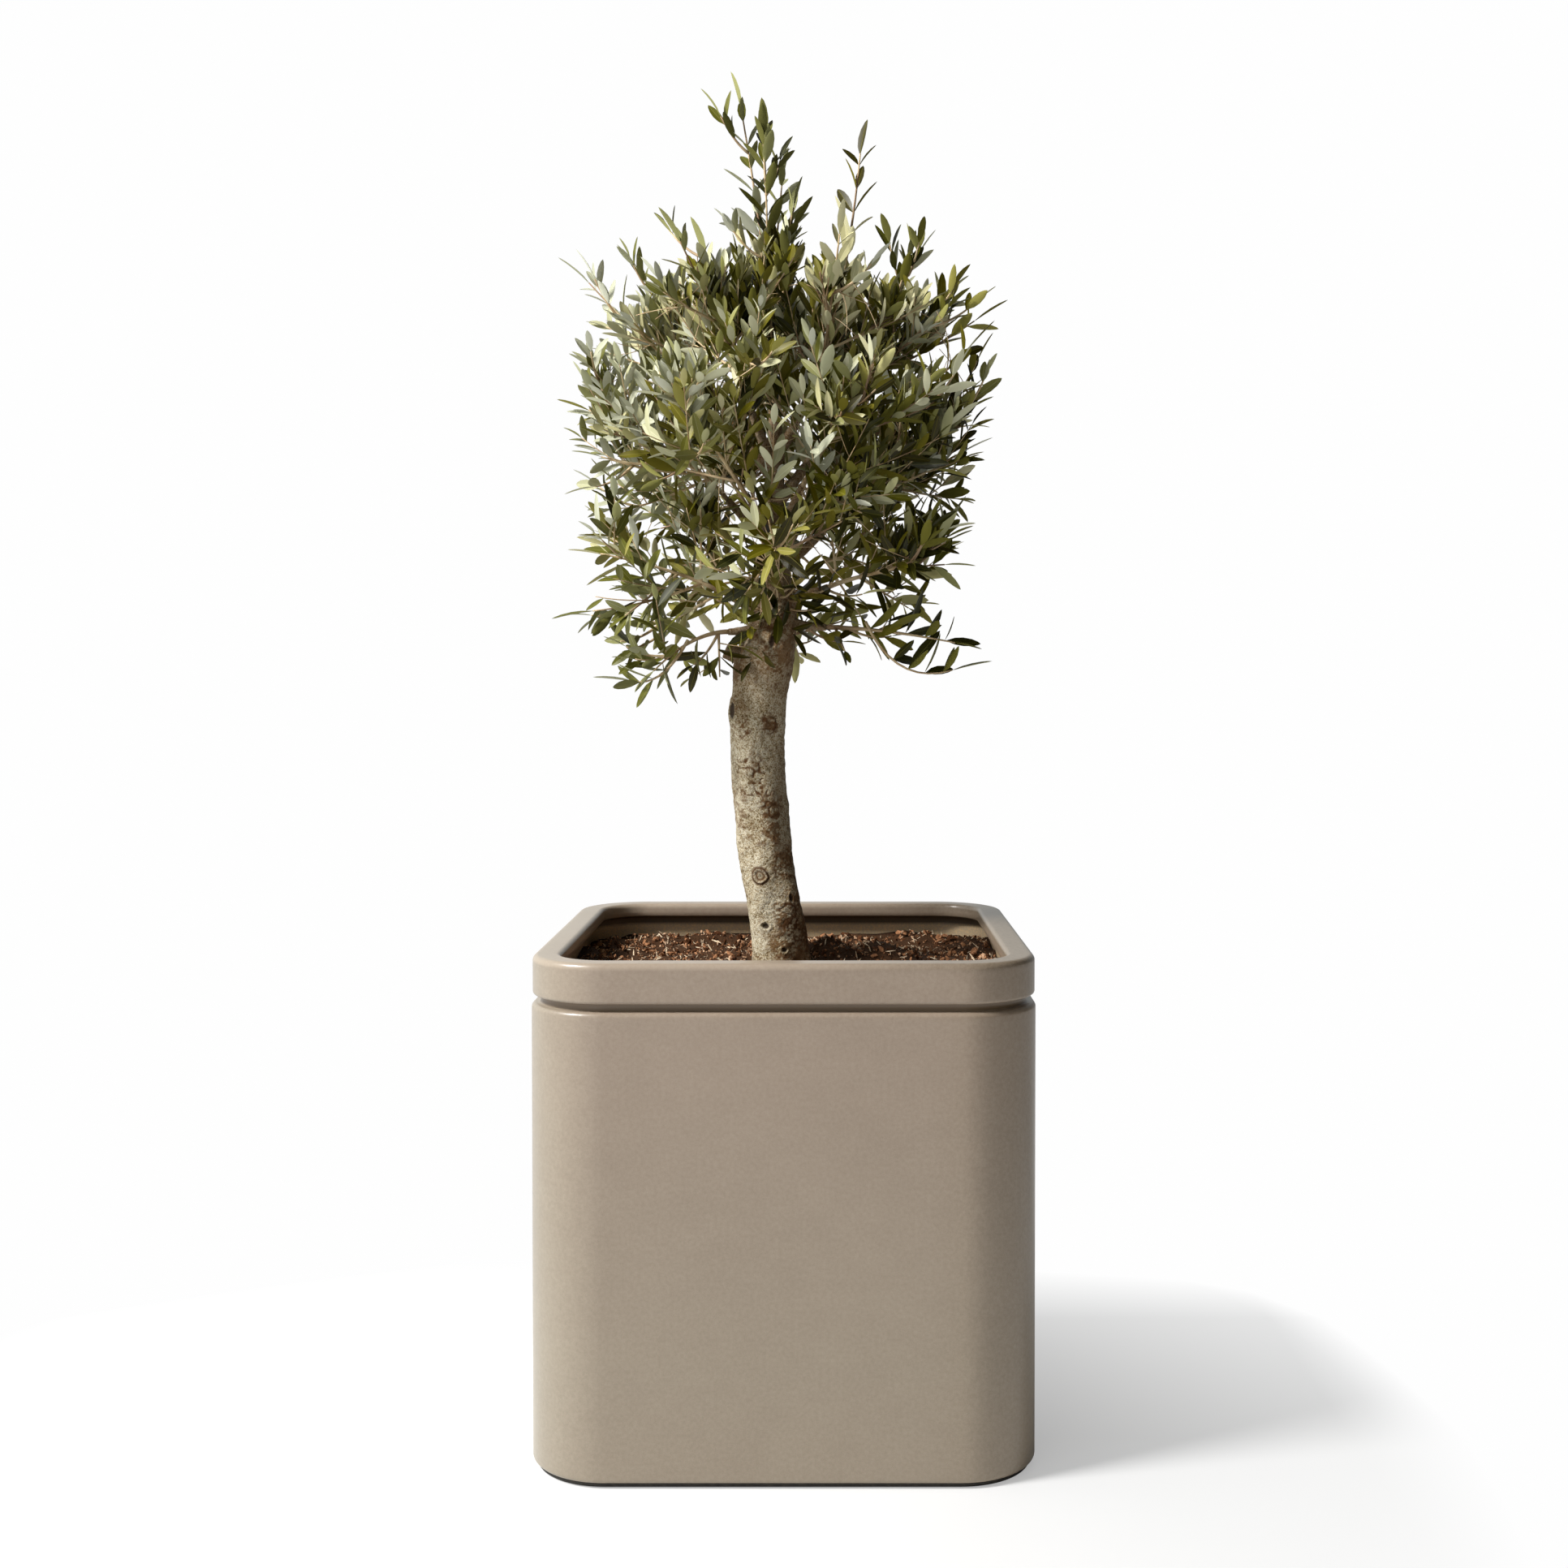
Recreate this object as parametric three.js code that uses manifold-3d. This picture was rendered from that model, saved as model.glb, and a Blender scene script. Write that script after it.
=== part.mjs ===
// A potted olive tree: a clipped ball of grey-green foliage on one bare, gently leaning stem, in a
// rounded square planter. Millimetres, +Z up. The origin is on the floor under the middle of the planter,
// +X is to the right and +Y to the back, as seen from the front.

import * as THREE from 'three';
import { mergeVertices } from 'three/addons/utils/BufferGeometryUtils.js';
import Module from 'manifold-3d';

const wasm = await Module();
wasm.setup();

// Planter: one moulded shell on a thin dark foot
const WIDTH = 500;
const CORNER = 78;              // radius of the upright corners
const FOOT_HEIGHT = 5;
const FOOT_INSET = 5;
const TOP = 505;                // height of the rim
const RIM_DROP = 39;            // height of the rim band
const RIM_INSET = 1;            // the band is this much narrower than the body on each side
const GROOVE_HEIGHT = 8;
const GROOVE_DEPTH = 6;
const LIP_WIDTH = 28;           // flat width of the rim's top
const LIP_DEPTH = 15;           // height of the lip's inner face
const WALL = 14;
const FLOOR = 22;               // thickness of the planter's bottom
const CORNER_STEPS = 5;

// Soil
const SOIL_BELOW_RIM = 46;
const SOIL_LUMP = 7;
const SEAT_RADIUS = 66;         // flat patch that the trunk stands on
const GAP = 0.3;                // clearance between neighbouring pieces

// Trunk
const SOIL_TOP = TOP - SOIL_BELOW_RIM;
const FORK_HEIGHT = 868;
const TRUNK_FOOT_X = -7;
const TRUNK_BEND = 26;          // sideways bow between the soil and the fork
const TRUNK_BEND_POWER = 1.35;  // over 1 puts the deepest point of the bow above the middle
const TRUNK_SWAY = 5;           // bow towards the back
const TRUNK_SIDES = 14;
const TRUNK_STEPS = 16;
const TRUNK_RADIUS = 29;
const ROOT_FLARE = 5;           // extra radius at the soil
const FLARE_HEIGHT = 26;        // height over which the flare fades
const COLLAR = 3.5;             // swelling under the fork
const STUB = { root: 790, tip: [-66, -10, 808], rootRadius: 13, tipRadius: 9 };

// Growth rule shared by every mass of foliage
const GOLDEN_ANGLE = THREE.MathUtils.degToRad(137.5);
const BOUGH_SIDES = 5;
const BOUGH_STEPS = 3;
const BOUGH_SHARE = 0.42;       // a bough covers this share of the way to the heart of its mass
const BOUGH_ROOT_RADIUS = 8;
const BOUGH_TIP_RADIUS = 3.6;
const STEM_RADIUS = 2.8;
const STEM_KNEE = 0.4;          // how far a stem keeps its bough's direction, as a share of its length
const TWIG_RADIUS = 2;
const TIP_RADIUS = 1.1;
const TWIG_STEPS = [0.08, 0.55, 1];
const TWIG_SPACING = 28;        // along the stem
const TWIG_LENGTH = 112;        // of the longest side twig
const TWIG_SHORTEST = 16;
const TIP_ROOM = 32;            // a twig that is cut back stops this far short, so that leaves fit
const LEAF_SPACING = 49;        // along stem and twigs
const LEAF = { length: 82, width: 31, thickness: 2 };
const SHOOT_LEAF = 0.72;        // size of the leaves on shoots that stand out
const END_ROOM = 0.5;           // a shoot ends this share of a leaf before the tip of its last leaf
// Length and turn that a leaf tries, in this order, until it has room
const LEAF_TRIES = [
  [1, 0], [1, 0.7], [1, -0.7], [0.8, 0], [0.8, 0.9], [0.62, 0], [0.62, -0.9], [0.45, 0.4],
];
const LEAF_ROOM = 0.3;          // cubic millimetres that a leaf may share with what stands there
const CORNER_ROOM = 0.012;      // closest that two corners of a fused mass may come
const SPACE_MARGIN = 0.6;       // kept from the border with the next mass
const LIMB_MARGIN = 4;          // kept from trunk and boughs

const point = (x, y, z) => new THREE.Vector3(x, y, z);
const mix = THREE.MathUtils.lerp;

// Crown: one leader and three tiers of masses round it. from: height where the first bough leaves, rise:
// how much higher each next one does. height and out: the heart of a mass, with every second one higher
// and the others lower by weave. tipHeight and tipOut: the end of its longest shoot. reach: how far its
// twigs go from the heart. lift: how strongly they turn up.
const CROWN_X = -8;
const TIERS = [
  { name: 'upper', count: 5, turn: 18, from: 968, rise: 12, height: 1152, weave: 14, out: 124,
    tipHeight: 1264, tipOut: 186, reach: 116, lift: 0.5 },
  { name: 'middle', count: 6, turn: 0, from: 896, rise: 8, height: 1022, weave: 16, out: 130,
    tipHeight: 1076, tipOut: 240, reach: 116, lift: 0.25 },
  { name: 'low', count: 5, turn: 198, from: 850, rise: 8, height: 906, weave: 18, out: 130,
    tipHeight: 890, tipOut: 236, reach: 108, lift: 0.05 },
];
const SIDE_NAMES = [
  'right', 'back_right', 'back', 'back_left', 'left', 'front_left', 'front', 'front_right',
];

// Shoots that stand out of the ball and make its outline, by mass. The first is the end of the stem.
const SHOOTS = {
  leader: [[-57, -4, 1431], [-25, -26, 1397], [-2, 26, 1366], [24, -34, 1290], [-62, 34, 1300]],
  upper_right: [[157, 30, 1272], [199, 44, 1230], [236, 36, 1193]],
  upper_left: [[-184, 36, 1259], [-243, 20, 1239], [-214, 64, 1148]],
  upper_front_left: [[-137, -140, 1279], [-98, -84, 1279]],
  upper_front_right: [[81, -74, 1366], [60, -150, 1262]],
  middle_right: [[225, 6, 1088], [214, -30, 1036]],
  middle_left: [[-256, 0, 1082], [-233, -30, 1027]],
  low_right: [[210, -46, 899], [200, -60, 940]],
  low_left: [[-239, -50, 916], [-236, -76, 846]],
};

// Share of the stem from which a long shoot has no side twigs
const BARE_FROM = { upper_front_right: 0.55 };

// Loose sprays that hang under the ball, at the sides and the back
const SPRAYS = [
  { name: 'spray_left', height: 838, heart: [-128, -50, 812], tip: [-166, -74, 752], reach: 96, lift: 0.2 },
  { name: 'spray_right', height: 844, heart: [118, -24, 816], tip: [220, -42, 806], reach: 94, lift: 0.3 },
  { name: 'spray_back', height: 832, heart: [6, 122, 812], tip: [14, 216, 790], reach: 92, lift: 0.2 },
];

const LIMBS = [
  { name: 'leader', height: 858, heart: [-14, 0, 1200], tip: SHOOTS.leader[0], reach: 116, lift: 0.9,
    bough: [-14, 2, 1074], rootRadius: 16, tipRadius: 6, bareFrom: 0.5 },
  ...TIERS.flatMap((tier) => Array.from({ length: tier.count }, (_, k) => {
    const angle = tier.turn + k * 360 / tier.count;
    const side = SIDE_NAMES[Math.round(angle / 45) % 8];
    const name = `${tier.name}_${side}`;
    const [x, y] = [Math.cos(THREE.MathUtils.degToRad(angle)), Math.sin(THREE.MathUtils.degToRad(angle))];
    return {
      name,
      height: tier.from + tier.rise * k,
      heart: [CROWN_X + tier.out * x, tier.out * y, tier.height + (k % 2 ? tier.weave : -tier.weave)],
      tip: SHOOTS[name]?.[0] ?? [CROWN_X + tier.tipOut * x, tier.tipOut * y, tier.tipHeight],
      reach: tier.reach,
      lift: tier.lift,
      bareFrom: BARE_FROM[name],
    };
  })),
  ...SPRAYS,
];

const SEED = 7;

// A repeatable stream of numbers from 0 to 1
function stream(seed) {
  let state = (seed * 2654435761) >>> 0;
  return () => {
    state = (Math.imul(state, 1664525) + 1013904223) >>> 0;
    return state / 4294967296;
  };
}

// Lofts rings of equal count, one after another, and closes both ends with a fan, or with one face where
// a ring is a triangle. A start point, if given, brings the first end to a point.
function loft(rings, start) {
  const count = rings[0].length;
  const positions = rings.flat().flatMap((p) => [p.x, p.y, p.z]);
  const faces = [];
  for (let r = 0; r + 1 < rings.length; r++) {
    for (let i = 0; i < count; i++) {
      const [a, b] = [r * count + i, r * count + (i + 1) % count];
      faces.push(a, b, b + count, a, b + count, a + count);
    }
  }
  const close = (ring, first, turned, apex) => {
    if (count === 3 && !apex) {
      faces.push(first, turned ? first + 2 : first + 1, turned ? first + 1 : first + 2);
      return;
    }
    const middle = apex ?? ring.reduce((sum, p) => sum.add(p), point(0, 0, 0)).divideScalar(count);
    const centre = positions.push(middle.x, middle.y, middle.z) / 3 - 1;
    for (let i = 0; i < count; i++) {
      const [a, b] = [first + i, first + (i + 1) % count];
      faces.push(centre, turned ? b : a, turned ? a : b);
    }
  };
  close(rings[0], 0, true, start);
  close(rings[rings.length - 1], (rings.length - 1) * count, false);
  const geometry = new THREE.BufferGeometry();
  geometry.setAttribute('position', new THREE.Float32BufferAttribute(positions, 3));
  geometry.setIndex(faces);
  return geometry;
}

function solid(geometry) {
  const bare = geometry.clone();
  bare.deleteAttribute('normal');
  bare.deleteAttribute('uv');
  const merged = mergeVertices(bare, 1e-4);
  const made = new wasm.Manifold(new wasm.Mesh({
    numProp: 3,
    vertProperties: new Float32Array(merged.attributes.position.array),
    triVerts: new Uint32Array(merged.index.array),
  }));
  return made;
}

function geometryOf(manifold) {
  const mesh = manifold.getMesh();
  const geometry = new THREE.BufferGeometry();
  geometry.setAttribute('position', new THREE.BufferAttribute(new Float32Array(mesh.vertProperties), 3));
  geometry.setIndex(new THREE.BufferAttribute(new Uint32Array(mesh.triVerts), 1));
  return geometry;
}

// The largest connected piece: loose scraps and sealed hollows are dropped
function largestPiece(manifold) {
  return manifold.decompose().reduce((best, piece) => (piece.volume() > best.volume() ? piece : best));
}

// Joins a piece to a mass, or gives null where two corners would all but meet
function cleanJoin(whole, piece) {
  const joined = whole.add(piece);
  const corners = joined.getMesh().vertProperties;
  const order = Array.from({ length: corners.length / 3 }, (_, i) => 3 * i);
  order.sort((a, b) => corners[a] - corners[b]);
  for (let i = 0; i < order.length; i++) {
    const a = order[i];
    for (let j = i + 1; j < order.length && corners[order[j]] - corners[a] < CORNER_ROOM; j++) {
      const b = order[j];
      const apart = Math.hypot(
        corners[a] - corners[b], corners[a + 1] - corners[b + 1], corners[a + 2] - corners[b + 2]);
      if (apart < CORNER_ROOM) return null;
    }
  }
  return joined;
}

// Rounded square of the planter's plan, moved in by inset, at height z
function squareRing(inset, z) {
  const radius = Math.max(CORNER - inset, 8);
  const reach = WIDTH / 2 - inset - radius;
  const ring = [];
  for (let corner = 0; corner < 4; corner++) {
    const [sx, sy] = [[1, 1], [-1, 1], [-1, -1], [1, -1]][corner];
    for (let k = 0; k <= CORNER_STEPS; k++) {
      const angle = (corner + k / CORNER_STEPS) * Math.PI / 2;
      ring.push(point(sx * reach + radius * Math.cos(angle), sy * reach + radius * Math.sin(angle), z));
    }
  }
  return ring;
}

// Quarter of a round edge in the wall's profile, as [inset, height] pairs
function roundedEdge(inset, z, radius, from, to, steps = 3) {
  return Array.from({ length: steps + 1 }, (_, k) => {
    const angle = THREE.MathUtils.degToRad(mix(from, to, k / steps));
    return [inset - radius * Math.cos(angle), z + radius * Math.sin(angle)];
  });
}

function planterShell() {
  const rimBase = TOP - RIM_DROP;
  const bodyTop = rimBase - GROOVE_HEIGHT;
  const inside = RIM_INSET + LIP_WIDTH;
  const profile = [
    ...roundedEdge(4, FOOT_HEIGHT + 4, 4, -90, 0, 2),
    ...roundedEdge(5, bodyTop - 5, 5, 0, 80),
    [GROOVE_DEPTH, bodyTop],
    [GROOVE_DEPTH, rimBase],
    ...roundedEdge(RIM_INSET + 3, rimBase + 3, 3, -90, 0, 2),
    ...roundedEdge(RIM_INSET + 5, TOP - 5, 5, 0, 90),
    ...roundedEdge(inside - 4, TOP - 4, 4, 90, 180, 2),
    [inside, TOP - LIP_DEPTH],
    [WALL, TOP - LIP_DEPTH - 3],
    [WALL, FOOT_HEIGHT + FLOOR],
  ];
  return loft(profile.map(([inset, z]) => squareRing(inset, z)));
}

// Lumps of the potting mix: a few waves of different length, flat under the trunk
function soilHeight(x, y) {
  const waves = Math.sin(x / 31 + 0.6) * Math.cos(y / 27) + 0.6 * Math.sin(x / 13 + y / 17 + 2)
    + 0.5 * Math.cos(y / 11 - x / 23);
  const fromTrunk = Math.hypot(x - trunkCentre(SOIL_TOP).x, y - trunkCentre(SOIL_TOP).y);
  const clear = THREE.MathUtils.smoothstep(fromTrunk, SEAT_RADIUS, SEAT_RADIUS + 30);
  return SOIL_TOP + clear * SOIL_LUMP * waves * 0.6;
}

function soilBlock() {
  const inset = WALL + GAP;
  const floor = FOOT_HEIGHT + FLOOR + GAP;
  const edge = squareRing(inset, floor);
  const rings = [edge];
  for (const share of [1, 0.84, 0.68, 0.52, 0.36, 0.18]) {
    rings.push(edge.map((p) => {
      const [x, y] = [p.x * share, p.y * share];
      return point(x, y, soilHeight(x, y));
    }));
  }
  return loft(rings);
}

// The stem's middle line: it leans left from the soil, stands upright, then leans right under the fork
function trunkCentre(z) {
  const up = (z - SOIL_TOP) / (FORK_HEIGHT - SOIL_TOP);
  const bend = Math.sin(Math.PI * Math.min(up, 1) ** TRUNK_BEND_POWER);
  return point(TRUNK_FOOT_X - TRUNK_BEND * bend, TRUNK_SWAY * Math.sin(Math.PI * 1.4 * up), z);
}

function trunkRadius(z) {
  const flare = ROOT_FLARE * Math.exp(-(z - SOIL_TOP) / FLARE_HEIGHT);
  const collar = COLLAR * Math.exp(-(((z - 795) / 26) ** 2));
  const narrowing = 9 * THREE.MathUtils.smoothstep(z, 810, FORK_HEIGHT);
  return TRUNK_RADIUS + flare + collar - narrowing;
}

// A tapering limb along a curve, as rings of the given radius
function limb(curve, radiusAt, sides, steps) {
  const frames = curve.computeFrenetFrames(steps, false);
  const rings = [];
  for (let s = 0; s <= steps; s++) {
    const centre = curve.getPointAt(s / steps);
    const radius = radiusAt(s / steps, centre);
    rings.push(Array.from({ length: sides }, (_, i) => {
      const angle = (i / sides) * Math.PI * 2;
      return centre.clone()
        .addScaledVector(frames.normals[s], radius * Math.cos(angle))
        .addScaledVector(frames.binormals[s], radius * Math.sin(angle));
    }));
  }
  return loft(rings);
}

// A side twig: three-sided, with its foot brought to a point on the middle line of its stem
function twigGeometry(curve, roll) {
  const frames = curve.computeFrenetFrames(TWIG_STEPS.length - 1, false);
  const rings = TWIG_STEPS.map((share, s) => [0, 1, 2].map((i) => {
    const angle = (i / 3) * Math.PI * 2 + roll;
    const radius = mix(TWIG_RADIUS, TIP_RADIUS, share);
    return curve.getPoint(share)
      .addScaledVector(frames.normals[s], radius * Math.cos(angle))
      .addScaledVector(frames.binormals[s], radius * Math.sin(angle));
  }));
  return loft(rings, curve.getPoint(0));
}

function trunkGeometry(grown = 0) {
  const rings = [];
  for (let s = 0; s <= TRUNK_STEPS; s++) {
    const z = mix(SOIL_TOP + GAP, FORK_HEIGHT, s / TRUNK_STEPS);
    const centre = trunkCentre(z);
    rings.push(Array.from({ length: TRUNK_SIDES }, (_, i) => {
      const angle = (i / TRUNK_SIDES) * Math.PI * 2;
      const knots = 1 + 0.035 * Math.sin(3 * angle + z / 34) + 0.025 * Math.sin(5 * angle - z / 21);
      const radius = (trunkRadius(z) + grown) * knots;
      return point(centre.x + radius * Math.cos(angle), centre.y + radius * Math.sin(angle), z);
    }));
  }
  const crown = rings[TRUNK_STEPS];
  const top = trunkCentre(FORK_HEIGHT);
  for (const [share, rise] of [[0.8, 5], [0.45, 8.5]]) {
    const z = FORK_HEIGHT + rise + grown;
    rings.push(crown.map((p) => point(mix(top.x, p.x, share), mix(top.y, p.y, share), z)));
  }
  return loft(rings);
}

function stubGeometry() {
  const start = trunkCentre(STUB.root);
  const curve = new THREE.LineCurve3(start, point(...STUB.tip));
  return limb(curve, (t) => mix(STUB.rootRadius, STUB.tipRadius, t), 8, 1);
}

// Where a bough leaves its parent limb: on the parent's middle line at that height
function rootOf(row) {
  if (row.height < FORK_HEIGHT) return trunkCentre(row.height);
  const leader = boughCurve(LIMBS[0]);
  let share = 0;
  while (share < 1 && leader.getPoint(share).z < row.height) share += 0.01;
  return leader.getPoint(share);
}

// A bough leaves its parent outwards and then turns up towards the heart of its mass
function boughCurve(row) {
  const root = rootOf(row);
  const tip = row.bough ? point(...row.bough) : root.clone().lerp(point(...row.heart), BOUGH_SHARE);
  const knee = root.clone().lerp(tip, 0.5);
  knee.z -= row.bough ? 0 : 0.1 * root.distanceTo(tip);
  return new THREE.QuadraticBezierCurve3(root, knee, tip);
}

const boughRootRadius = (row) => row.rootRadius ?? BOUGH_ROOT_RADIUS;
const boughTipRadius = (row) => row.tipRadius ?? BOUGH_TIP_RADIUS;

function boughGeometry(row, grown = 0) {
  const curve = boughCurve(row);
  const radiusAt = (t) => mix(boughRootRadius(row), boughTipRadius(row), t ** 0.7) + grown;
  return limb(curve, radiusAt, BOUGH_SIDES, BOUGH_STEPS);
}

// The stem of a mass carries on from its bough, through the heart, to the tip of the longest shoot
function stemCurve(row) {
  const bough = boughCurve(row);
  const way = bough.getTangent(1);
  const start = bough.getPoint(1).addScaledVector(way, GAP);
  const tip = point(...row.tip);
  const knee = start.clone().addScaledVector(way, STEM_KNEE * start.distanceTo(tip));
  return new THREE.QuadraticBezierCurve3(start, knee, tip);
}

// Two directions square to a shoot: one level, one upwards
function sideways(along) {
  const level = new THREE.Vector3().crossVectors(along, point(0, 0, 1));
  if (level.lengthSq() < 0.01) level.set(1, 0, 0);
  level.normalize();
  return [level, new THREE.Vector3().crossVectors(level, along).normalize()];
}

// Twigs of a mass: first its shoots of the outline, then side twigs set round the stem by the golden
// angle, square to it at its foot and forward at its end, turning up
function sideTwigs(row, index) {
  const stem = stemCurve(row);
  const chance = stream(SEED + index);
  const twigs = [];
  for (const [k, tip] of (SHOOTS[row.name] ?? []).slice(1).entries()) {
    const start = stem.getPoint(0.25 + 0.12 * k);
    const end = point(...tip);
    const knee = start.clone().lerp(end, 0.5);
    knee.z -= 0.1 * start.distanceTo(end);
    const whole = new THREE.QuadraticBezierCurve3(start, knee, end);
    twigs.push(cutAt(whole, 1 - END_ROOM * LEAF.length / whole.getLength()));
  }
  const leafy = row.bareFrom ?? 1;
  const count = Math.floor(leafy * stem.getLength() / TWIG_SPACING);
  for (let k = 0; k < count; k++) {
    const [a, b, c] = [chance(), chance(), chance()];
    const share = leafy * (k + 0.3 + 0.4 * (a - 0.5)) / count;
    const start = stem.getPoint(share);
    const along = stem.getTangent(share);
    const [level, upper] = sideways(along);
    const turn = k * GOLDEN_ANGLE + index;
    const way = along.clone().multiplyScalar(0.1 + 0.8 * share + 0.2 * b)
      .addScaledVector(level, Math.cos(turn))
      .addScaledVector(upper, Math.sin(turn))
      .add(point(0, 0, row.lift * 0.5))
      .normalize();
    const twigLength = TWIG_LENGTH * (1 - 0.5 * share ** 1.6) * (0.8 + 0.3 * c);
    const end = start.clone().addScaledVector(way, twigLength);
    const knee = start.clone().addScaledVector(way, twigLength * 0.55);
    end.z += row.lift * twigLength * 0.25;
    twigs.push(new THREE.QuadraticBezierCurve3(start, knee, end));
  }
  return twigs;
}

// A mass keeps to its own space: nearer its heart than any other's, weighed by their reach, which
// makes every border a plane
function insideSpace(p, index) {
  const own = p.distanceToSquared(point(...LIMBS[index].heart)) - LIMBS[index].reach ** 2;
  return LIMBS.every((row, other) => {
    if (other === index) return true;
    const theirs = p.distanceToSquared(point(...row.heart)) - row.reach ** 2;
    const apart = 2 * point(...row.heart).distanceTo(point(...LIMBS[index].heart));
    return (theirs - own) / apart > SPACE_MARGIN;
  });
}

const insideReach = (p, index) => p.distanceTo(point(...LIMBS[index].heart)) < LIMBS[index].reach;

// Samples of trunk and boughs, as [centre, radius], that foliage stays off
const limbSamples = [];
for (let s = 0; s <= 40; s++) {
  const z = mix(SOIL_TOP, FORK_HEIGHT + 4, s / 40);
  limbSamples.push([trunkCentre(z), trunkRadius(z)]);
}
for (const row of LIMBS) {
  const curve = boughCurve(row);
  for (let s = 0; s <= 16; s++) {
    const radius = mix(boughRootRadius(row), boughTipRadius(row), (s / 16) ** 0.7);
    limbSamples.push([curve.getPoint(s / 16), radius]);
  }
}
for (let s = 0; s <= 4; s++) {
  limbSamples.push([trunkCentre(STUB.root).lerp(point(...STUB.tip), s / 4), STUB.rootRadius]);
}
const clearOfLimbs = (p) => limbSamples.every(
  ([centre, radius]) => p.distanceTo(centre) > radius + LIMB_MARGIN);

// The stretch of a curve from its start to a share of its length
function cutAt(curve, share) {
  const [start, end] = [curve.getPoint(0), curve.getPoint(share)];
  const knee = curve.getPoint(share / 2).multiplyScalar(2).sub(start.clone().add(end).multiplyScalar(0.5));
  return new THREE.QuadraticBezierCurve3(start, knee, end);
}

// Cuts a twig back to the part that stays in its space and clear of the limbs
function trimmed(curve, index, bounded) {
  const steps = 12;
  let last = 0;
  for (let s = 1; s <= steps; s++) {
    const p = curve.getPoint(s / steps);
    if (!insideSpace(p, index) || !clearOfLimbs(p) || (bounded && !insideReach(p, index))) break;
    last = s / steps;
  }
  if (last < 1) last -= TIP_ROOM / curve.getLength();
  if (last * curve.getLength() < TWIG_SHORTEST) return null;
  return cutAt(curve, last);
}

// One leaf: a lens of eight faces with its root on the twig's middle line, or null where it has no room
function leafSolid(root, way, across, length, index, bounded) {
  const thick = new THREE.Vector3().crossVectors(way, across).normalize();
  const width = LEAF.width * Math.sqrt(length / LEAF.length);
  const at = (along, wide, high) => root.clone()
    .addScaledVector(way, along * length)
    .addScaledVector(across, wide * width / 2)
    .addScaledVector(thick, high * LEAF.thickness / 2);
  const tip = at(1, 0, 0);
  const [left, right] = [at(0.5, 1, 0), at(0.5, -1, 0)];
  const [upper, lower] = [at(0.3, 0, 1), at(0.3, 0, -1)];
  const probes = [tip, left, right, at(0.25, 0, 0), at(0.5, 0, 0), at(0.75, 0, 0)];
  if (!probes.every((p) => insideSpace(p, index) && clearOfLimbs(p))) return null;
  if (bounded && !insideReach(tip, index)) return null;
  const geometry = new THREE.BufferGeometry();
  geometry.setAttribute('position', new THREE.Float32BufferAttribute(
    [root, tip, left, right, upper, lower].flatMap((p) => [p.x, p.y, p.z]), 3));
  geometry.setIndex([0, 4, 2, 4, 1, 2, 0, 3, 4, 3, 1, 4, 0, 2, 5, 2, 1, 5, 0, 5, 3, 5, 1, 3]);
  return solid(geometry);
}

// Where leaves stand: opposite pairs, each pair turned a quarter from the last, and one at the tip
function leafPlaces(curve, from, chance, bounded) {
  const length = curve.getLength();
  const size = bounded ? 1 : SHOOT_LEAF;
  const count = Math.max(1, Math.round(length * (1 - from) / LEAF_SPACING));
  const places = [
    { root: curve.getPoint(0.985), along: curve.getTangent(1), turn: 0, side: 0, size: 0.85 * size },
  ];
  for (let k = 0; k < count; k++) {
    const share = from + (1 - from) * (k + 0.5) / count;
    const turn = k * Math.PI / 2 + chance() * 0.8;
    for (const side of [1, -1]) {
      const root = curve.getPoint(share + 0.012 * side);
      const scaled = size * (0.88 + 0.24 * chance());
      places.push({ root, along: curve.getTangent(share), turn, side, size: scaled });
    }
  }
  return places;
}

// Adds a leaf to a mass, turned or shortened until it has room and cuts through no other leaf
function addLeaf(mass, place, index, bounded) {
  const [level, upper] = sideways(place.along);
  for (const [share, swing] of LEAF_TRIES) {
    const turn = place.turn + swing;
    const out = level.clone().multiplyScalar(Math.cos(turn)).addScaledVector(upper, Math.sin(turn));
    const way = place.along.clone().addScaledVector(out, 0.9 * place.side + 0.4 * swing).normalize();
    const across = new THREE.Vector3().crossVectors(way, out).normalize();
    const leaf = leafSolid(place.root, way, across, LEAF.length * place.size * share, index, bounded);
    if (!leaf || mass.solid.intersect(leaf).volume() > LEAF_ROOM) continue;
    const joined = cleanJoin(mass.solid, leaf);
    if (!joined) continue;
    mass.solid = joined;
    mass.leaves += 1;
    return;
  }
}

function growMass(row, index) {
  const whole = stemCurve(row);
  const stem = cutAt(whole, 1 - END_ROOM * LEAF.length / whole.getLength());
  const chance = stream(SEED + 1000 + index);
  const mass = { solid: solid(limb(stem, (t) => mix(STEM_RADIUS, TIP_RADIUS, t), 3, 5)), leaves: 0 };
  const stemPlaces = leafPlaces(stem, 0.15, chance, false);
  const outer = (SHOOTS[row.name] ?? []).length - 1;
  const kept = [];
  sideTwigs(row, index).forEach((twig, k) => {
    const bounded = k >= outer;
    const shoot = trimmed(twig, index, bounded);
    if (!shoot) return;
    const joined = [0, 0.5, 1, 1.5].reduce(
      (found, roll) => found ?? cleanJoin(mass.solid, solid(twigGeometry(shoot, roll))), null);
    if (!joined) return;
    mass.solid = joined;
    kept.push([shoot, bounded]);
  });
  for (const place of stemPlaces) addLeaf(mass, place, index, false);
  for (const [shoot, bounded] of kept) {
    for (const place of leafPlaces(shoot, 0.1, chance, bounded)) addLeaf(mass, place, index, bounded);
  }
  return mass;
}

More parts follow.
